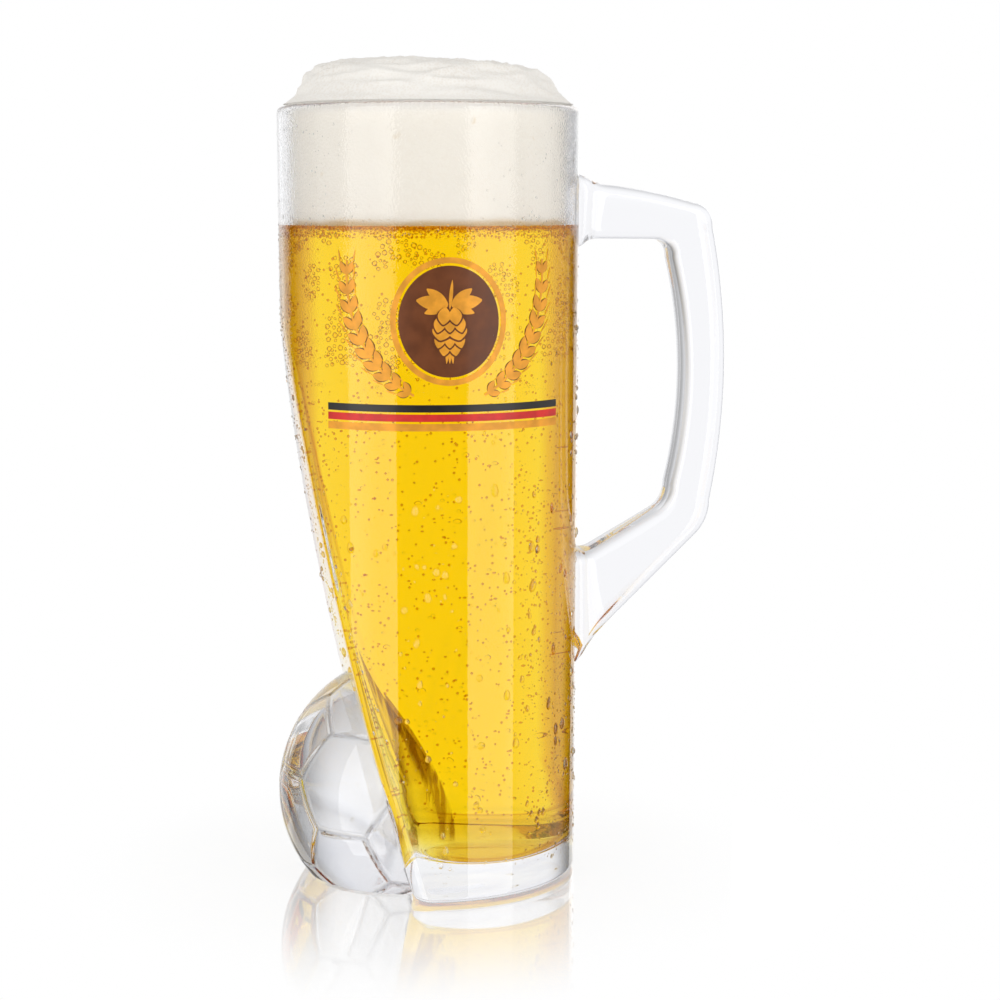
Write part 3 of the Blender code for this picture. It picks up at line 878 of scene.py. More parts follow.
# %% Football
BALL_RADIUS = 0.0349
BALL_PAST_BOWL = 0.0025
BALL_HEIGHT = 0.0211
BALL_CENTRE = Vector((BALL_RADIUS - FOOT_RADIUS - BALL_PAST_BOWL, 0.0, BALL_HEIGHT))
BALL_FINENESS = 7
PANEL_YAW = math.radians(-38.0)
PANEL_TILT = math.radians(12.5)
PANEL_ROLL = math.radians(148.0)
SIX_SIDED_DEPTH = 0.9149
FIVE_SIDED_DEPTH = 0.9393
SEAM_SLOPE = 0.74
SEAM_WIDTH = 0.00050
SEAM_DEPTH = 0.0003
SHARP = math.radians(38.0)


def panel_directions():
    """Unit directions of the panels' middles, turned as they stand on the mug, with each panel's depth."""
    bpy.ops.mesh.primitive_ico_sphere_add(subdivisions=1, radius=1.0)
    guide = bpy.context.object
    mesh = guide.data
    middle = Vector(mesh.polygons[0].center).normalized()
    point = mesh.vertices[mesh.polygons[0].vertices[0]].co
    side = (point - middle * point.dot(middle)).normalized()
    level = Vector((math.sin(PANEL_YAW), -math.cos(PANEL_YAW), 0.0))
    facing = level * math.cos(PANEL_TILT) + Vector((0.0, 0.0, math.sin(PANEL_TILT)))
    right = Vector((math.cos(PANEL_YAW), math.sin(PANEL_YAW), 0.0))
    towards = right * math.cos(PANEL_ROLL) + facing.cross(right) * math.sin(PANEL_ROLL)
    before = Matrix((middle, side, middle.cross(side))).transposed()
    after = Matrix((facing, towards, facing.cross(towards))).transposed()
    turn = after @ before.transposed()
    sixes = [turn @ Vector(face.center).normalized() for face in mesh.polygons]
    fives = [turn @ vert.co.normalized() for vert in mesh.vertices]
    bpy.data.objects.remove(guide)
    depths = [SIX_SIDED_DEPTH] * len(sixes) + [FIVE_SIDED_DEPTH] * len(fives)
    return np.array(sixes + fives), np.array(depths)


def in_seam(directions, depths, out):
    """How deep in a seam a direction from the ball's middle lies: 0 on a panel and 1 in mid seam."""
    nearest = np.sort(directions @ np.array(out.normalized()) / depths)
    from_seam = BALL_RADIUS * (nearest[-1] - nearest[-2]) / SEAM_SLOPE
    return math.exp(-((from_seam / SEAM_WIDTH) ** 2))


def make_ball_glass():
    directions, depths = panel_directions()
    leg_levels = [-BALL_RADIUS, *spread(0.0, HEIGHT / 2, WALL_ROWS)]
    leg = wrapped("leg_cutter", [ring(z, *outside(max(z, 0.0), -FUSED_DEPTH)) for z in leg_levels])
    bpy.ops.object.select_all(action="DESELECT")
    bpy.ops.mesh.primitive_ico_sphere_add(subdivisions=BALL_FINENESS, radius=BALL_RADIUS)
    ball = bpy.context.object
    ball.name = "ball_glass"
    for vert in ball.data.vertices:
        groove = SEAM_DEPTH * in_seam(directions, depths, vert.co)
        vert.co = BALL_CENTRE + vert.co.normalized() * (BALL_RADIUS - groove)
    cut_below(0.0)
    seat = ball.modifiers.new("seat", "BOOLEAN")
    seat.operation = "DIFFERENCE"
    seat.solver = "EXACT"
    seat.object = leg
    bpy.ops.object.modifier_apply(modifier=seat.name)
    bpy.data.objects.remove(leg)
    bpy.ops.object.shade_smooth_by_angle(angle=SHARP)
    seams = ball.data.attributes.new("seam", "FLOAT", "POINT")
    for vert, seam in zip(ball.data.vertices, seams.data):
        out = vert.co - BALL_CENTRE
        if abs(out.length - BALL_RADIUS) < 2 * SEAM_DEPTH:
            seam.value = in_seam(directions, depths, out)
    return ball


dress(make_ball_glass(), ["football"], "clear_glass", stitched_glass)

# %% [markdown]
# ## The beer
# The drink fills the cavity. Its colour comes from its depth, as in a real glass: a volume that swallows
# blue light fast and green light slowly. Its surface bends nothing, because the wet side of the glass
# already does.

# %% Beer
BEER_GAP = 0.00005
UNBENT = 1.0
BEER_PASSES = rgba(1.0, 0.918, 0.0)
BEER_DENSITY = 83.0

beer_finish, beer_shader, wire = glass_look("beer", UNBENT)
beer_shader.inputs["Base Color"].default_value = WHITE
swallowed = wire.node("VolumeAbsorption", {}, {"Color": BEER_PASSES, "Density": BEER_DENSITY})
link(swallowed, wire.tree.nodes["Material Output"], "Volume")
dress(wrapped("beer_fill", cavity_rings(FILL_HEIGHT, BEER_GAP)), ["beer"], "beer", beer_finish)

# %% [markdown]
# ## Bubbles
# Gas beads cling to the inside of the wall and rise through the beer. There are many, so one small ball is
# modelled and copied to many places, with fewer faces where it is tiny. The beads bend no light, so a large
# bead gets a dark outline of painted shade round a clear middle and a fine one a brown dot of painted shade,
# which two finishes draw from how steeply the surface is seen. A group gives the number of beads, their
# sizes, heights and angles round the bowl, and whether they gather in clusters. The places are random, but
# seeded, so they stay put.

# %% Bubbles
# Painted shade: the dark rims and dots that beads of gas would show by bending light.
BEAD_RIM_PAINTED_SHADE = [
    (0.0, (1.0, 0.97, 0.88)),
    (0.30, (0.92, 0.76, 0.42)),
    (0.60, (0.40, 0.20, 0.04)),
    (1.0, (0.26, 0.12, 0.02)),
]
FINE_BEAD_PAINTED_SHADE = [(0.0, (0.86, 0.62, 0.26)), (0.40, (0.66, 0.42, 0.12)), (1.0, (0.42, 0.22, 0.04))]
RING_GROUPS = (
    ("clusters at the left", 1250, (0.0008, 0.0014), (0.1340, 0.1662), (-172.0, -92.0), True),
    ("clusters at the right", 520, (0.0007, 0.0012), (0.1360, 0.1662), (-86.0, -8.0), True),
)
DOT_GROUPS = (
    ("belt under the foam", 620, (0.0004, 0.0008), (0.1656, 0.1680), (-180.0, 180.0), False),
    ("upper dots", 420, (0.0004, 0.0008), (0.1150, 0.1650), (-178.0, -4.0), False),
    ("lower dots", 900, (0.0004, 0.0008), (0.0200, 0.1250), (-160.0, -20.0), False),
    ("dots behind", 300, (0.0004, 0.0007), (0.0200, 0.1640), (20.0, 160.0), False),
)
RING_SEED = 11
DOT_SEED = 12
LARGE_BEAD = 0.0009
BEAD_DEPTHS = (1.1, 1.5)
CLUSTER_SIZE = 0.0075
CLUSTER_LEVEL = -0.04
MOST_TRIES = 12


def ball_pattern(subdivisions):
    """One small ball to copy, as its points and faces."""
    bpy.ops.object.select_all(action="DESELECT")
    bpy.ops.mesh.primitive_ico_sphere_add(subdivisions=subdivisions, radius=1.0)
    return as_pattern(bpy.context.object)


def as_pattern(model):
    """Takes the points and faces of a model to copy, and removes the model."""
    points = np.array([tuple(vert.co) for vert in model.data.vertices])
    faces = [tuple(face.vertices) for face in model.data.polygons]
    bpy.data.objects.remove(model)
    return points, faces


def scattered(name, copies):
    """Copies of small patterns as one smooth piece. A copy is a pattern and a function that places it."""
    points = []
    faces = []
    for (pattern_points, pattern_faces), placed in copies:
        start = len(points)
        points += [tuple(point) for point in placed(pattern_points)]
        faces += [tuple(start + corner for corner in face) for face in pattern_faces]
    mesh = bpy.data.meshes.new(name)
    mesh.from_pydata(points, [], faces)
    piece = bpy.data.objects.new(name, mesh)
    scene.collection.objects.link(piece)
    pick([piece])
    bpy.ops.object.shade_smooth()
    return piece


def in_drink(z, angle, depth):
    """A point in the beer, so deep behind the inside of the wall."""
    radius, cut, corner = cavity(z, depth)
    cut = max(cut, -radius)
    return np.array((*section_point(math.radians(angle), (radius + cut) / 2, radius, cut, corner), z))


def bead(pattern, centre, radius):
    return pattern, lambda points: points * radius + centre


def make_bubbles(name, groups, seed):
    chance = random.Random(seed)
    large = ball_pattern(2)
    small = ball_pattern(1)
    beads = []
    for _, count, sizes, heights, angles, clustered in groups:
        centres = np.empty((0, 3))
        radii = np.empty(0)
        for _ in range(count * MOST_TRIES):
            radius = chance.uniform(*sizes) / 2
            z = chance.uniform(*heights)
            angle = chance.uniform(*angles)
            centre = in_drink(z, angle, radius * chance.uniform(*BEAD_DEPTHS))
            if clustered and noise.noise(Vector(centre) / CLUSTER_SIZE) < CLUSTER_LEVEL:
                continue
            if np.any(np.abs(centres - centre).max(axis=1) < radii + radius):
                continue
            centres = np.vstack((centres, centre))
            radii = np.append(radii, radius)
            beads.append(bead(large if 2 * radius > LARGE_BEAD else small, centre, radius))
            if len(radii) == count:
                break
    print(len(beads), "beads of gas")
    return scattered(name, beads)


def gas(name, tone_and_painted_shade):
    """A bead of gas: it bends nothing, and painted shade darkens its outline where its surface is seen
    steeply.
    """
    made, shader, wire = glass_look(name, UNBENT)
    link(wire.painted_edge_shade(tone_and_painted_shade), shader, "Base Color")
    return made


dress(make_bubbles("bubble_clusters", RING_GROUPS, RING_SEED), [], "beer", gas("bead_of_gas", BEAD_RIM_PAINTED_SHADE))
dress(make_bubbles("bubbles", DOT_GROUPS, DOT_SEED), [], "beer", gas("fine_gas", FINE_BEAD_PAINTED_SHADE))

# %% [markdown]
# ## The foam
# Foam is a mass of bubbles too small to see. It fills the mouth of the glass and swells over the rim in a
# flat dome with soft folds. Rings give the dome its outline, and noise then pushes its points about, as a
# sculptor would. The folds are a sum of four noises: soft swells, sharper ridges, small ripples, and waves
# that run round the flank.

# %% Foam shape
DOME_HEIGHT = 0.0120
DOME_RADIUS = 0.0316
DOME_FLATNESS = 7
DOME_FLARE = 0.0053
DOME_FLARE_POWER = 3
DOME_LIFT = 0.0006
DOME_STEPS = 40
CROWN_STARTS = 0.90
CROWN_STEPS = 36
FOLD_SIZE = 0.014
FOLD_DEPTH = 0.0021
FOLD_CURL = 1.7
FOLD_STRETCH = 0.55
SWELL_FINENESS = 0.6
SWELL_SHARE = 0.45
RIDGE_SHIFT = Vector((3.1, 0.7, 0.0))
RIDGE_SHARE = 0.35
RIPPLE_FINENESS = 2.3
RIPPLE_SHIFT = Vector((0.0, 5.3, 1.9))
RIPPLE_SHARE = 0.18
WAVE_TURNS = 2.1
WAVE_CORE = 0.012
WAVE_SIZE = 0.0048
WAVE_SHARE = 0.50
WAVE_SIDEWAYS = 0.7
SWAY_FINENESS = 0.7
SWAY_SHIFT = Vector((0.0, 0.0, 4.2))
SWAY_REACH = 1.5
FOLDS_SINK = 0.95
POLE_ROUND = 0.25


def crease(place):
    """Noise with sharp crests, from -1 to 1."""
    return 1 - 2 * abs(noise.noise(place))


def folded(point, rise):
    """A point of the dome, pushed in and out by curling folds on its crown and by waves round its flank."""
    x, y, z = point
    out = max(math.hypot(x, y), BEER_GAP)
    curl = FOLD_CURL * (1 - out / DOME_RADIUS)
    along = x * math.cos(curl) - y * math.sin(curl)
    across = x * math.sin(curl) + y * math.cos(curl)
    place = Vector((along * FOLD_STRETCH, across, z)) / FOLD_SIZE
    around = Vector((x, y, 0.0)) * WAVE_TURNS / max(out, WAVE_CORE)
    sway = noise.noise(around * SWAY_FINENESS + SWAY_SHIFT)
    up_flank = Vector((0.0, 0.0, (z - out) / WAVE_SIZE + SWAY_REACH * sway))
    folds = SWELL_SHARE * noise.noise(place * SWELL_FINENESS)
    folds += RIDGE_SHARE * crease(place + RIDGE_SHIFT)
    folds += RIPPLE_SHARE * crease(place * RIPPLE_FINENESS + RIPPLE_SHIFT)
    folds += WAVE_SHARE * crease(around + up_flank)
    push = FOLD_DEPTH * math.sqrt(rise) * (folds - FOLDS_SINK)
    return (x * (1 + WAVE_SIDEWAYS * push / out), y * (1 + WAVE_SIDEWAYS * push / out), z + push)


def make_foam():
    levels = spread(FILL_HEIGHT + BEER_GAP, HEIGHT - WALL / 2, ROUND_STEPS)
    rings = [ring(z, *cavity(z, BEER_GAP)) for z in levels]
    base = HEIGHT + DOME_LIFT
    rings.append(ring(base, *cavity(HEIGHT, BEER_GAP)))
    for rise in spread(0.0, CROWN_STARTS, DOME_STEPS):
        radius = DOME_RADIUS * math.sqrt(1 - rise**DOME_FLATNESS)
        flare = DOME_FLARE * (1 - rise) ** DOME_FLARE_POWER
        loop = ring(base + DOME_HEIGHT * rise, radius + flare, -radius - flare, CORNER_ROUND)
        rings.append([folded(point, rise) for point in loop])
    for share in spread(0.0, 1.0, CROWN_STEPS)[1:]:
        inner = radius * (1 - share) + BEER_GAP
        rise = (1 - (inner / DOME_RADIUS) ** 2) ** (1 / DOME_FLATNESS)
        loop = ring(base + DOME_HEIGHT * rise, inner, -inner, min(CORNER_ROUND, inner * POLE_ROUND))
        rings.append([folded(point, rise) for point in loop])
    return wrapped("foam", rings)


# %% [markdown]
# ## The finish of the foam
# Up close, foam is fine cells with creamier patches. Behind the glass it is wetter and shows a few open
# bubbles, and at its foot it takes on the amber of the beer. Noise and cell patterns on the object's own
# coordinates draw all of it, and the cells also give it a fine relief.

# %% Foam finish
FOAM_CREAM = rgba(0.80, 0.755, 0.69)
FOAM_PALE = rgba(0.84, 0.81, 0.76)
FOAM_WHITE = rgba(0.86, 0.835, 0.79)
FOAM_WET = rgba(0.86, 0.80, 0.69)
FOAM_HOLE = rgba(0.68, 0.55, 0.36)
FOAM_FOOT = rgba(0.62, 0.40, 0.13)
FOAM_MATT = {"Roughness": 0.8, "Specular IOR Level": 0.25}
FOAM_CELLS = 1500.0
CELL_EDGE = 0.8
CELL_DEPTH = 0.0002
CELL_STRENGTH = 0.25
PATCHES = 90.0
PATCH_DETAIL = 4.0
PATCH_RANGE = (0.35, 0.7)
WET_SHARE = 0.6
HOLES = 130.0
HOLE_RIM = (0.16, 0.22)
HOLE_SHARE = 0.7
HOLE_AREAS = 75.0
HOLE_AREA_EDGE = (0.50, 0.56)
FOOT_RAGGED = 0.0016
FOOT_RANGE = (FILL_HEIGHT - 0.0006, FILL_HEIGHT + 0.0012)
FOOT_SHARE = 0.8


def foam_finish():
    made, shader, wire = finish("foam", FOAM_MATT)
    place = wire.place()
    z = place.axis("Z")
    cells = wire.node("TexVoronoi", {}, {"Vector": place, "Scale": FOAM_CELLS}, "Distance")
    patches = place.clouds(PATCHES, PATCH_DETAIL)
    cream = patches.smooth(*PATCH_RANGE).mixed(FOAM_CREAM, FOAM_PALE)
    colour = cells.smooth(0.0, CELL_EDGE).mixed(cream, FOAM_WHITE)
    behind_glass = 1 - z.smooth(HEIGHT - WALL, HEIGHT)
    colour = (behind_glass * WET_SHARE).mixed(colour, FOAM_WET)
    holes = wire.node("TexVoronoi", {}, {"Vector": place, "Scale": HOLES}, "Distance")
    sparse = place.clouds(HOLE_AREAS).smooth(*HOLE_AREA_EDGE)
    open_bubbles = behind_glass * sparse * (1 - holes.smooth(*HOLE_RIM)) * HOLE_SHARE
    colour = open_bubbles.mixed(colour, FOAM_HOLE)
    foot = 1 - (z - patches * FOOT_RAGGED).smooth(*FOOT_RANGE)
    link((foot * FOOT_SHARE).mixed(colour, FOAM_FOOT), shader, "Base Color")
    ruffle(cells, shader, CELL_STRENGTH, CELL_DEPTH)
    return made


dress(make_foam(), ["foam_head"], "foam", foam_finish())

# %% [markdown]
# ## The print
# The front of the bowl carries fired enamel: a brown medallion with a hop cone in a gold ring, two ears of
# barley and three stripes. Every shape is a band between two edges, laid on the curve of the bowl and given
# a thin body.

# %% Enamel bands
PRINT_LIFT = 0.00002
UNDERLAY_THICKNESS = 0.00006
PRINT_THICKNESS = 0.00012
BAND_ROWS = 6
PRINT_FRONT = math.radians(-90.0)
PETAL_STEPS = 12
PETAL_ENDS = (0.02, 0.98)
PETAL_BLUNT = 0.8


def on_bowl(across, below_rim, lift):
    """A point of the print: so far round the bowl from its front, below the rim and off the glass."""
    z = HEIGHT - below_rim
    radius = outer_radius(z)
    angle = PRINT_FRONT + across / radius
    return Vector(((radius + lift) * math.cos(angle), (radius + lift) * math.sin(angle), z))


def band(edges, lift, thickness):
    """A layer of enamel between pairs of (across, below the rim) points."""
    bpy.ops.object.select_all(action="DESELECT")
    columns = len(edges) - 1
    bpy.ops.mesh.primitive_grid_add(x_subdivisions=columns, y_subdivisions=BAND_ROWS, size=1.0)
    layer = bpy.context.object
    for vert in layer.data.vertices:
        low, high = edges[round((vert.co.x + 0.5) * columns)]
        share = vert.co.y + 0.5
        vert.co = on_bowl(low[0] + (high[0] - low[0]) * share, low[1] + (high[1] - low[1]) * share, lift)
    weld(closed=False)
    face = layer.data.polygons[len(layer.data.polygons) // 2]
    if face.normal.dot(Vector((face.center.x, face.center.y, 0.0))) < 0:
        layer.data.flip_normals()
    body = layer.modifiers.new("body", "SOLIDIFY")
    body.thickness = thickness
    body.offset = 1.0
    bpy.ops.object.modifier_apply(modifier=body.name)
    return layer


def joined(name, bands):
    """Several bands as one piece."""
    pick(bands)
    if len(bands) > 1:
        bpy.ops.object.join()
    piece = bpy.context.object
    piece.name = name
    bpy.ops.object.shade_smooth_by_angle(angle=SHARP)
    return piece


def petal(foot, tip, width):
    """The edges of a pointed oval from a foot to a tip, both (across, below the rim)."""
    foot = Vector(foot)
    tip = Vector(tip)
    sideways = Vector((foot.y - tip.y, tip.x - foot.x)).normalized() * width / 2
    edges = []
    for share in spread(*PETAL_ENDS, PETAL_STEPS):
        spine = foot.lerp(tip, share)
        half = sideways * math.sin(math.pi * share) ** PETAL_BLUNT
        edges.append((spine - half, spine + half))
    return edges


# %% [markdown]
# ## Enamel
# Enamel is coloured glass powder, melted onto the bowl. It is glossy, a little cloudy in tone and faintly
# rippled, and the gold has some metal in it. One function makes all four colours.

# %% Enamel finishes
ENAMEL_GLOSS = {"Specular IOR Level": 0.35, "Coat Weight": 0.1, "Coat Roughness": 0.1}
CLOUDS = 260.0
CLOUD_DETAIL = 5.0
CLOUD_RANGE = (0.3, 0.7)
CLOUD_DARKENS = 0.72
CLOUD_ROUGHENS = 0.2
ENAMEL_RIPPLES = 1400.0
ENAMEL_RIPPLE_DEPTH = 0.0001
ENAMEL_RIPPLE_STRENGTH = 0.12


def enamel(name, colour, metal, rough):
    """Fired enamel: glossy, a little uneven in tone, with a fine ripple."""
    made, shader, wire = finish(name, {"Metallic": metal, **ENAMEL_GLOSS})
    place = wire.place()
    cloud = place.clouds(CLOUDS, CLOUD_DETAIL)
    darker = rgba(*(CLOUD_DARKENS * part for part in colour))
    link(cloud.smooth(*CLOUD_RANGE).mixed(darker, rgba(*colour)), shader, "Base Color")
    link(cloud * CLOUD_ROUGHENS + rough, shader, "Roughness")
    ripple = place.clouds(ENAMEL_RIPPLES)
    ruffle(ripple, shader, ENAMEL_RIPPLE_STRENGTH, ENAMEL_RIPPLE_DEPTH)
    return made


brown_enamel = enamel("brown_enamel", (0.15, 0.040, 0.008), 0.0, 0.32)
gold_enamel = enamel("gold_enamel", (0.88, 0.37, 0.03), 0.20, 0.30)
black_enamel = enamel("black_enamel", (0.02, 0.017, 0.016), 0.0, 0.25)
red_enamel = enamel("red_enamel", (0.68, 0.025, 0.02), 0.0, 0.28)

# %% [markdown]
# ## Medallion, hop, ears and stripes
# The medallion is an oval with a ring round it. Scales and leaves of the hop and grains of the barley are
# pointed ovals, each with a slightly larger brown one under it as an outline. The stripes are straight
# bands round the bowl.

# %% Medallion, ears and stripes
MEDALLION_BELOW_RIM = 0.0525
MEDALLION_HALF_WIDTH = 0.0125
MEDALLION_HALF_HEIGHT = 0.0135
RING_GAP = 0.0006
RING_WIDTH = 0.0014
EAR_GAP = 0.0008
EAR_WIDTH = 0.0076
EAR_SPREAD = 0.0110
EAR_FOOT_ANGLE = math.radians(24.0)
EAR_TIP_ANGLE = math.radians(122.0)
EAR_STEPS = 32
FIRST_GRAIN = 2
GRAIN_EVERY = 3
LEAST_GRAIN = 0.6
STEM_HALF = 0.0003
GRAIN_LENGTH = 0.0042
GRAIN_LEANS = 0.0021
GRAIN_WIDTH = 0.0021
GRAIN_SHADE_WIDTH = 0.0027
AWN_LENGTH = 0.0040
AWN_LEANS = 0.0008
AWN_WIDTH = 0.0004
STRIPE_HEIGHT = 0.0018
STRIPE_GAP = 0.0005
STRIPE_LENGTH = 0.0640
OVAL_STEPS = 72
LAYER = 0.00002
HOP_TOP = 0.0489
HOP_LENGTH = 0.0128
HOP_WIDTH = 0.0086
HOP_ROWS = 6
HOP_ROWS_REACH = 0.74
HOP_ROUND_FROM = 0.24
HOP_ROUND_BY = 0.68
SCALE_FOOT = 0.72
SCALE_TIP = 1.12
SCALE_LENGTH = 0.34
SCALE_OVERLAP = 1.06
OUTLINE_LONGER = 0.10
OUTLINE_WIDER = 1.22
LOBE_FOOT = (0.0003, HOP_TOP - 0.0004)
STALK_FOOT = (0.0, HOP_TOP + 0.0008)
STALK_TIP = (0.0007, HOP_TOP - 0.0066)
STALK_WIDTH = 0.0009
HOP_LOBES = (((0.0082, 0.0473), 0.0034), ((0.0056, 0.0445), 0.0024), ((0.0062, 0.0505), 0.0022))


def oval_point(turn, grow):
    across = (MEDALLION_HALF_WIDTH + grow) * math.cos(turn)
    return across, MEDALLION_BELOW_RIM - (MEDALLION_HALF_HEIGHT + grow) * math.sin(turn)


def make_medallion():
    edges = []
    for turn in spread(0.0, math.pi, OVAL_STEPS)[1:-1]:
        across, top = oval_point(math.pi - turn, 0.0)
        edges.append(((across, 2 * MEDALLION_BELOW_RIM - top), (across, top)))
    ground = joined("medallion_plate", [band(edges, PRINT_LIFT, UNDERLAY_THICKNESS)])
    turns = spread(0.0, 2 * math.pi, 2 * OVAL_STEPS)
    edges = [(oval_point(turn, RING_GAP), oval_point(turn, RING_GAP + RING_WIDTH)) for turn in turns]
    circle = joined("medallion_circle", [band(edges, PRINT_LIFT, PRINT_THICKNESS)])
    dress(ground, ["medallion_ground"], "brown_enamel", brown_enamel)
    dress(circle, ["medallion_ring"], "gold_enamel", gold_enamel)


def ear_spine(side):
    """Points along the middle of an ear, from its foot under the medallion to its tip."""
    near = RING_GAP + RING_WIDTH + EAR_GAP + EAR_WIDTH / 2
    spine = []
    for share in spread(0.0, 1.0, EAR_STEPS):
        turn = EAR_FOOT_ANGLE + (EAR_TIP_ANGLE - EAR_FOOT_ANGLE) * share
        out = near + EAR_SPREAD * share**2
        across = (MEDALLION_HALF_WIDTH + out) * math.sin(turn)
        below_rim = MEDALLION_BELOW_RIM + (MEDALLION_HALF_HEIGHT + out) * math.cos(turn)
        spine.append(Vector((side * across, below_rim)))
    return spine


def make_ear(name, node, side):
    """One ear of barley: a stem, pairs of grains along it, and a long awn on each grain."""
    spine = ear_spine(side)
    upper = PRINT_LIFT + UNDERLAY_THICKNESS
    stem = []
    for before, point, after in zip(spine, spine[1:], spine[2:]):
        along = (after - before).normalized()
        half = Vector((-along.y, along.x)) * STEM_HALF
        stem.append((point - half, point + half))
    gold = [band(stem, upper, PRINT_THICKNESS)]
    brown = []
    for grain in range(FIRST_GRAIN, EAR_STEPS - 1, GRAIN_EVERY):
        along = (spine[grain + 1] - spine[grain - 1]).normalized()
        sideways = Vector((-along.y, along.x))
        size = LEAST_GRAIN + (1 - LEAST_GRAIN) * swell(grain / EAR_STEPS)
        for flank in (-1, 1):
            foot = spine[grain] + sideways * flank * STEM_HALF
            tip = foot + (along * GRAIN_LENGTH + sideways * flank * GRAIN_LEANS) * size
            awn = tip + (along * AWN_LENGTH + sideways * flank * AWN_LEANS) * size
            brown.append(band(petal(foot, tip, GRAIN_SHADE_WIDTH * size), PRINT_LIFT, UNDERLAY_THICKNESS))
            gold.append(band(petal(foot, tip, GRAIN_WIDTH * size), upper, PRINT_THICKNESS))
            gold.append(band(petal(tip, awn, AWN_WIDTH), PRINT_LIFT, PRINT_THICKNESS))
    dress(joined(name, gold), [node], "gold_enamel", gold_enamel)
    dress(joined(name + "_shade", brown), [], "brown_enamel", brown_enamel)


def make_hop():
    """A hop cone of overlapping scales with two lobed leaves, in gold with brown outlines."""
    gold = []
    brown = []

    def scale(foot, tip, width, level):
        lift = PRINT_LIFT + UNDERLAY_THICKNESS + level * 2 * LAYER
        reach = Vector(tip) - Vector(foot)
        outline = petal(foot, Vector(tip) + reach * OUTLINE_LONGER, width * OUTLINE_WIDER)
        brown.append(band(outline, lift, LAYER))
        gold.append(band(petal(foot, tip, width), lift + LAYER, LAYER))

    for side in (-1, 1):
        for tip, width in HOP_LOBES:
            scale((side * LOBE_FOOT[0], LOBE_FOOT[1]), (side * tip[0], tip[1]), width, 0)
    scale(STALK_FOOT, STALK_TIP, STALK_WIDTH, 0)
    for row in range(HOP_ROWS):
        share = row / (HOP_ROWS - 1)
        wide = HOP_WIDTH * math.sin(math.pi * (HOP_ROUND_FROM + HOP_ROUND_BY * share))
        count = 2 + row % 2
        drop = HOP_TOP + HOP_LENGTH * share * HOP_ROWS_REACH
        for place in range(count):
            across = wide * ((place + 0.5) / count - 0.5)
            tip = (across * SCALE_TIP, drop + HOP_LENGTH * SCALE_LENGTH)
            scale((across * SCALE_FOOT, drop), tip, wide / count * SCALE_OVERLAP, HOP_ROWS - row)
    dress(joined("hop_cone", gold), [], "gold_enamel", gold_enamel)
    dress(joined("hop_outline", brown), [], "brown_enamel", brown_enamel)


def make_stripes():
    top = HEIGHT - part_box("stripe_black")[1][2]
    colours = {"black": black_enamel, "red": red_enamel, "gold": gold_enamel}
    for row, (name, made) in enumerate(colours.items()):
        high = top + row * (STRIPE_HEIGHT + STRIPE_GAP)
        places = spread(-STRIPE_LENGTH / 2, STRIPE_LENGTH / 2, OVAL_STEPS)
        stripe = band([((x, high + STRIPE_HEIGHT), (x, high)) for x in places], PRINT_LIFT, PRINT_THICKNESS)
        dress(joined(f"stripe_{name}_enamel", [stripe]), [f"stripe_{name}"], f"{name}_enamel", made)


make_medallion()
make_hop()
make_ear("barley_left", "barley_ear_left", -1)
make_ear("barley_right", "barley_ear_right", 1)
make_stripes()

# %% [markdown]
# ## Dew and drops
# A cold glass is wet outside. Fine dew covers it, and where it gathers it makes drops that sag and run. A
# drop is the cap of a ball, pressed flat and laid on the wall, with its flat side a hair inside the glass
# so that no air shows between them. Large drops get more faces than the dew, and all hang lower on one
# side. Over the beer their edges get painted amber shade, and over the foam they are clear. A group gives
# the number of drops, their sizes, heights and angles round the bowl, how far they stand out, and how much
# longer than wide they can be.

# %% Drops
WATER_BENDS = 1.33
# Painted shade: amber that darkens the rims of drops over the beer.
DROP_RIM_PAINTED_SHADE = [
    (0.0, (1.0, 1.0, 1.0)),
    (0.35, (0.99, 0.95, 0.82)),
    (0.65, (0.78, 0.57, 0.24)),
    (1.0, (0.46, 0.29, 0.07)),
]
CLEAR_ABOVE_BEER = (FILL_HEIGHT, FILL_HEIGHT + 0.001)
SUNK = 0.00006
DROP_GROUPS = (
    ("dew round the foam", 600, (0.00018, 0.00032), (0.166, 0.194), (-180.0, 180.0), 0.20, 1.1),
    ("drops round the foam", 420, (0.0003, 0.0008), (0.164, 0.193), (-180.0, 180.0), 0.26, 1.3),
    ("drops round the base", 170, (0.0004, 0.0013), (0.0065, 0.0135), (-170.0, 170.0), 0.24, 1.2),
    ("drops above the beer", 160, (0.0004, 0.0009), (0.166, 0.171), (-175.0, -5.0), 0.22, 1.1),
    ("dew round the beer", 1700, (0.00030, 0.00065), (0.008, 0.166), (-180.0, 180.0), 0.32, 1.2),
    ("dew at the left edge", 420, (0.00030, 0.00070), (0.050, 0.166), (-190.0, -164.0), 0.34, 1.3),
    ("dew at the right", 900, (0.00030, 0.00080), (0.010, 0.150), (-72.0, -8.0), 0.32, 1.2),
    ("drops at the right", 170, (0.0008, 0.0024), (0.010, 0.145), (-80.0, -6.0), 0.31, 1.7),
    ("drops at the left", 150, (0.0007, 0.0022), (0.010, 0.125), (-172.0, -90.0), 0.31, 1.6),
    ("drops behind", 260, (0.0006, 0.0014), (0.010, 0.150), (12.0, 168.0), 0.30, 1.4),
)
BIG_DROP = 0.0010
BIG_FACES = (12, 8)
SMALL_FACES = (7, 4)
CAP_CUT = 0.5
DROP_SAG = 0.22
DROP_SEED = 5
SMALL_BIAS = 2.2
FINE_ON_PRINT = 1.3
LEAN_VARIES = 0.15
LEAST_STRETCH = 0.9
TURN_STEP = 0.01
RISE_STEP = 0.001
DROP_SHARP = math.radians(60.0)
JOINT_ROOM = 0.0030
PRINT_CLEAR = (0.1040, 0.1660, -150.0, -30.0)


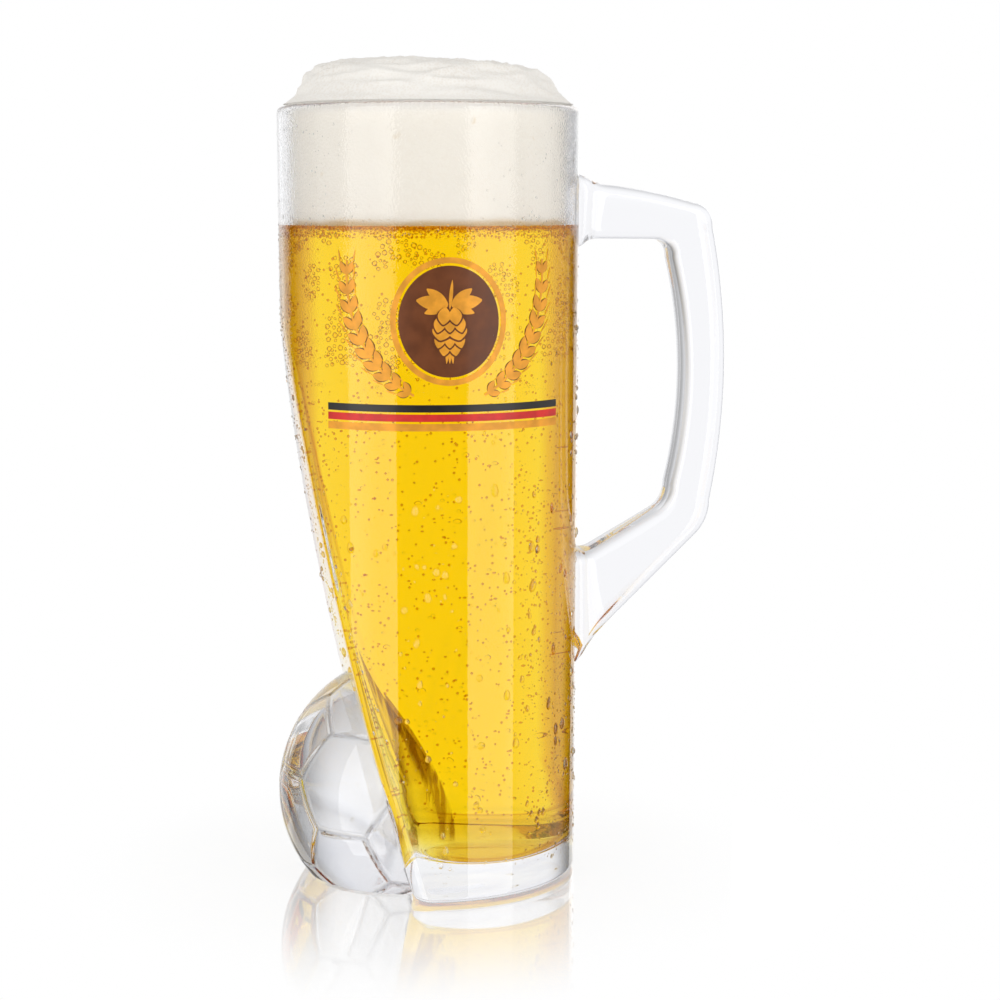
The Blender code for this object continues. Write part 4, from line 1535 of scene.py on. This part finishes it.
def drop_pattern(segments, rings):
    """One drop to copy: the cap of a ball on a flat foot, facing +Z, a little wider below than above."""
    bpy.ops.object.select_all(action="DESELECT")
    bpy.ops.mesh.primitive_uv_sphere_add(segments=segments, ring_count=rings, radius=1.0)
    model = bpy.context.object
    cut_below(CAP_CUT)
    foot = math.sqrt(1 - CAP_CUT**2)
    for vert in model.data.vertices:
        x, y, z = vert.co
        vert.co = (x / foot * (1 - DROP_SAG * y), y / foot, (z - CAP_CUT) / (1 - CAP_CUT))
    return as_pattern(model)


def on_wall(z, angle):
    """A point on the outside of the glass, with the directions across, up and out of it."""
    radius, cut, corner = outside(z)
    cut = max(cut, -radius)
    centre = (radius + cut) / 2
    here = Vector((*section_point(angle, centre, radius, cut, corner), z))
    beside = Vector((*section_point(angle + TURN_STEP, centre, radius, cut, corner), z))
    above_radius, above_cut, _ = outside(z + RISE_STEP)
    above_cut = max(above_cut, -above_radius)
    above = Vector((*section_point(angle, centre, above_radius, above_cut, corner), z + RISE_STEP))
    across = (beside - here).normalized()
    out = across.cross(above - here).normalized()
    return here, across, out.cross(across), out


def in_a_joint(point):
    """Whether a point of the wall lies under the football or under a root of the handle."""
    if (point - BALL_CENTRE).length < BALL_RADIUS + JOINT_ROOM:
        return True
    upper = HANDLE_TOP - TOP_ARM_DEPTH - JOINT_ROOM < point.z < HANDLE_TOP + JOINT_ROOM
    lower = HANDLE_BOTTOM - JOINT_ROOM < point.z < HANDLE_BOTTOM + LOWER_ARM_DEPTH + JOINT_ROOM
    return (upper or lower) and point.x > 0.0 and abs(point.y) < HANDLE_WIDTH / 2 + JOINT_ROOM


def drop(pattern, z, angle, radius, rise, tall, lean):
    """A copy of a drop pattern, laid on the wall at a height and an angle round the bowl."""
    here, across, up, out = on_wall(z, angle)
    across, up = across * math.cos(lean) + up * math.sin(lean), up * math.cos(lean) - across * math.sin(lean)
    turn = np.array((across * radius, up * radius * tall, out * radius * 2 * rise))
    base = np.array(here - out * SUNK)
    return pattern, lambda points: points @ turn + base


def make_drops():
    chance = random.Random(DROP_SEED)
    big = drop_pattern(*BIG_FACES)
    small = drop_pattern(*SMALL_FACES)
    drops = []
    for _, count, sizes, heights, angles, rise, tall in DROP_GROUPS:
        for _ in range(count):
            z = chance.uniform(*heights)
            degrees = chance.uniform(*angles)
            size = sizes[0] + (sizes[1] - sizes[0]) * chance.random() ** SMALL_BIAS
            covered = PRINT_CLEAR[0] < z < PRINT_CLEAR[1] and PRINT_CLEAR[2] < degrees < PRINT_CLEAR[3]
            if covered and size > sizes[0] * FINE_ON_PRINT:
                continue
            if in_a_joint(on_wall(z, math.radians(degrees))[0]):
                continue
            pattern = big if size > BIG_DROP else small
            lean = chance.gauss(0.0, LEAN_VARIES)
            stretch = chance.uniform(LEAST_STRETCH, tall)
            drops.append(drop(pattern, z, math.radians(degrees), size / 2, rise, stretch, lean))
    print(len(drops), "drops")
    piece = scattered("dew_drops", drops)
    bpy.ops.object.shade_smooth_by_angle(angle=DROP_SHARP)
    return piece


water, water_shader, wire = glass_look("water", WATER_BENDS)
# Painted amber shade on the drops' rims, only over the beer.
over_foam = wire.place().axis("Z").smooth(*CLEAR_ABOVE_BEER)
link(over_foam.mixed(wire.painted_edge_shade(DROP_RIM_PAINTED_SHADE), WHITE), water_shader, "Base Color")
dress(make_drops(), [], "clear_glass", water)
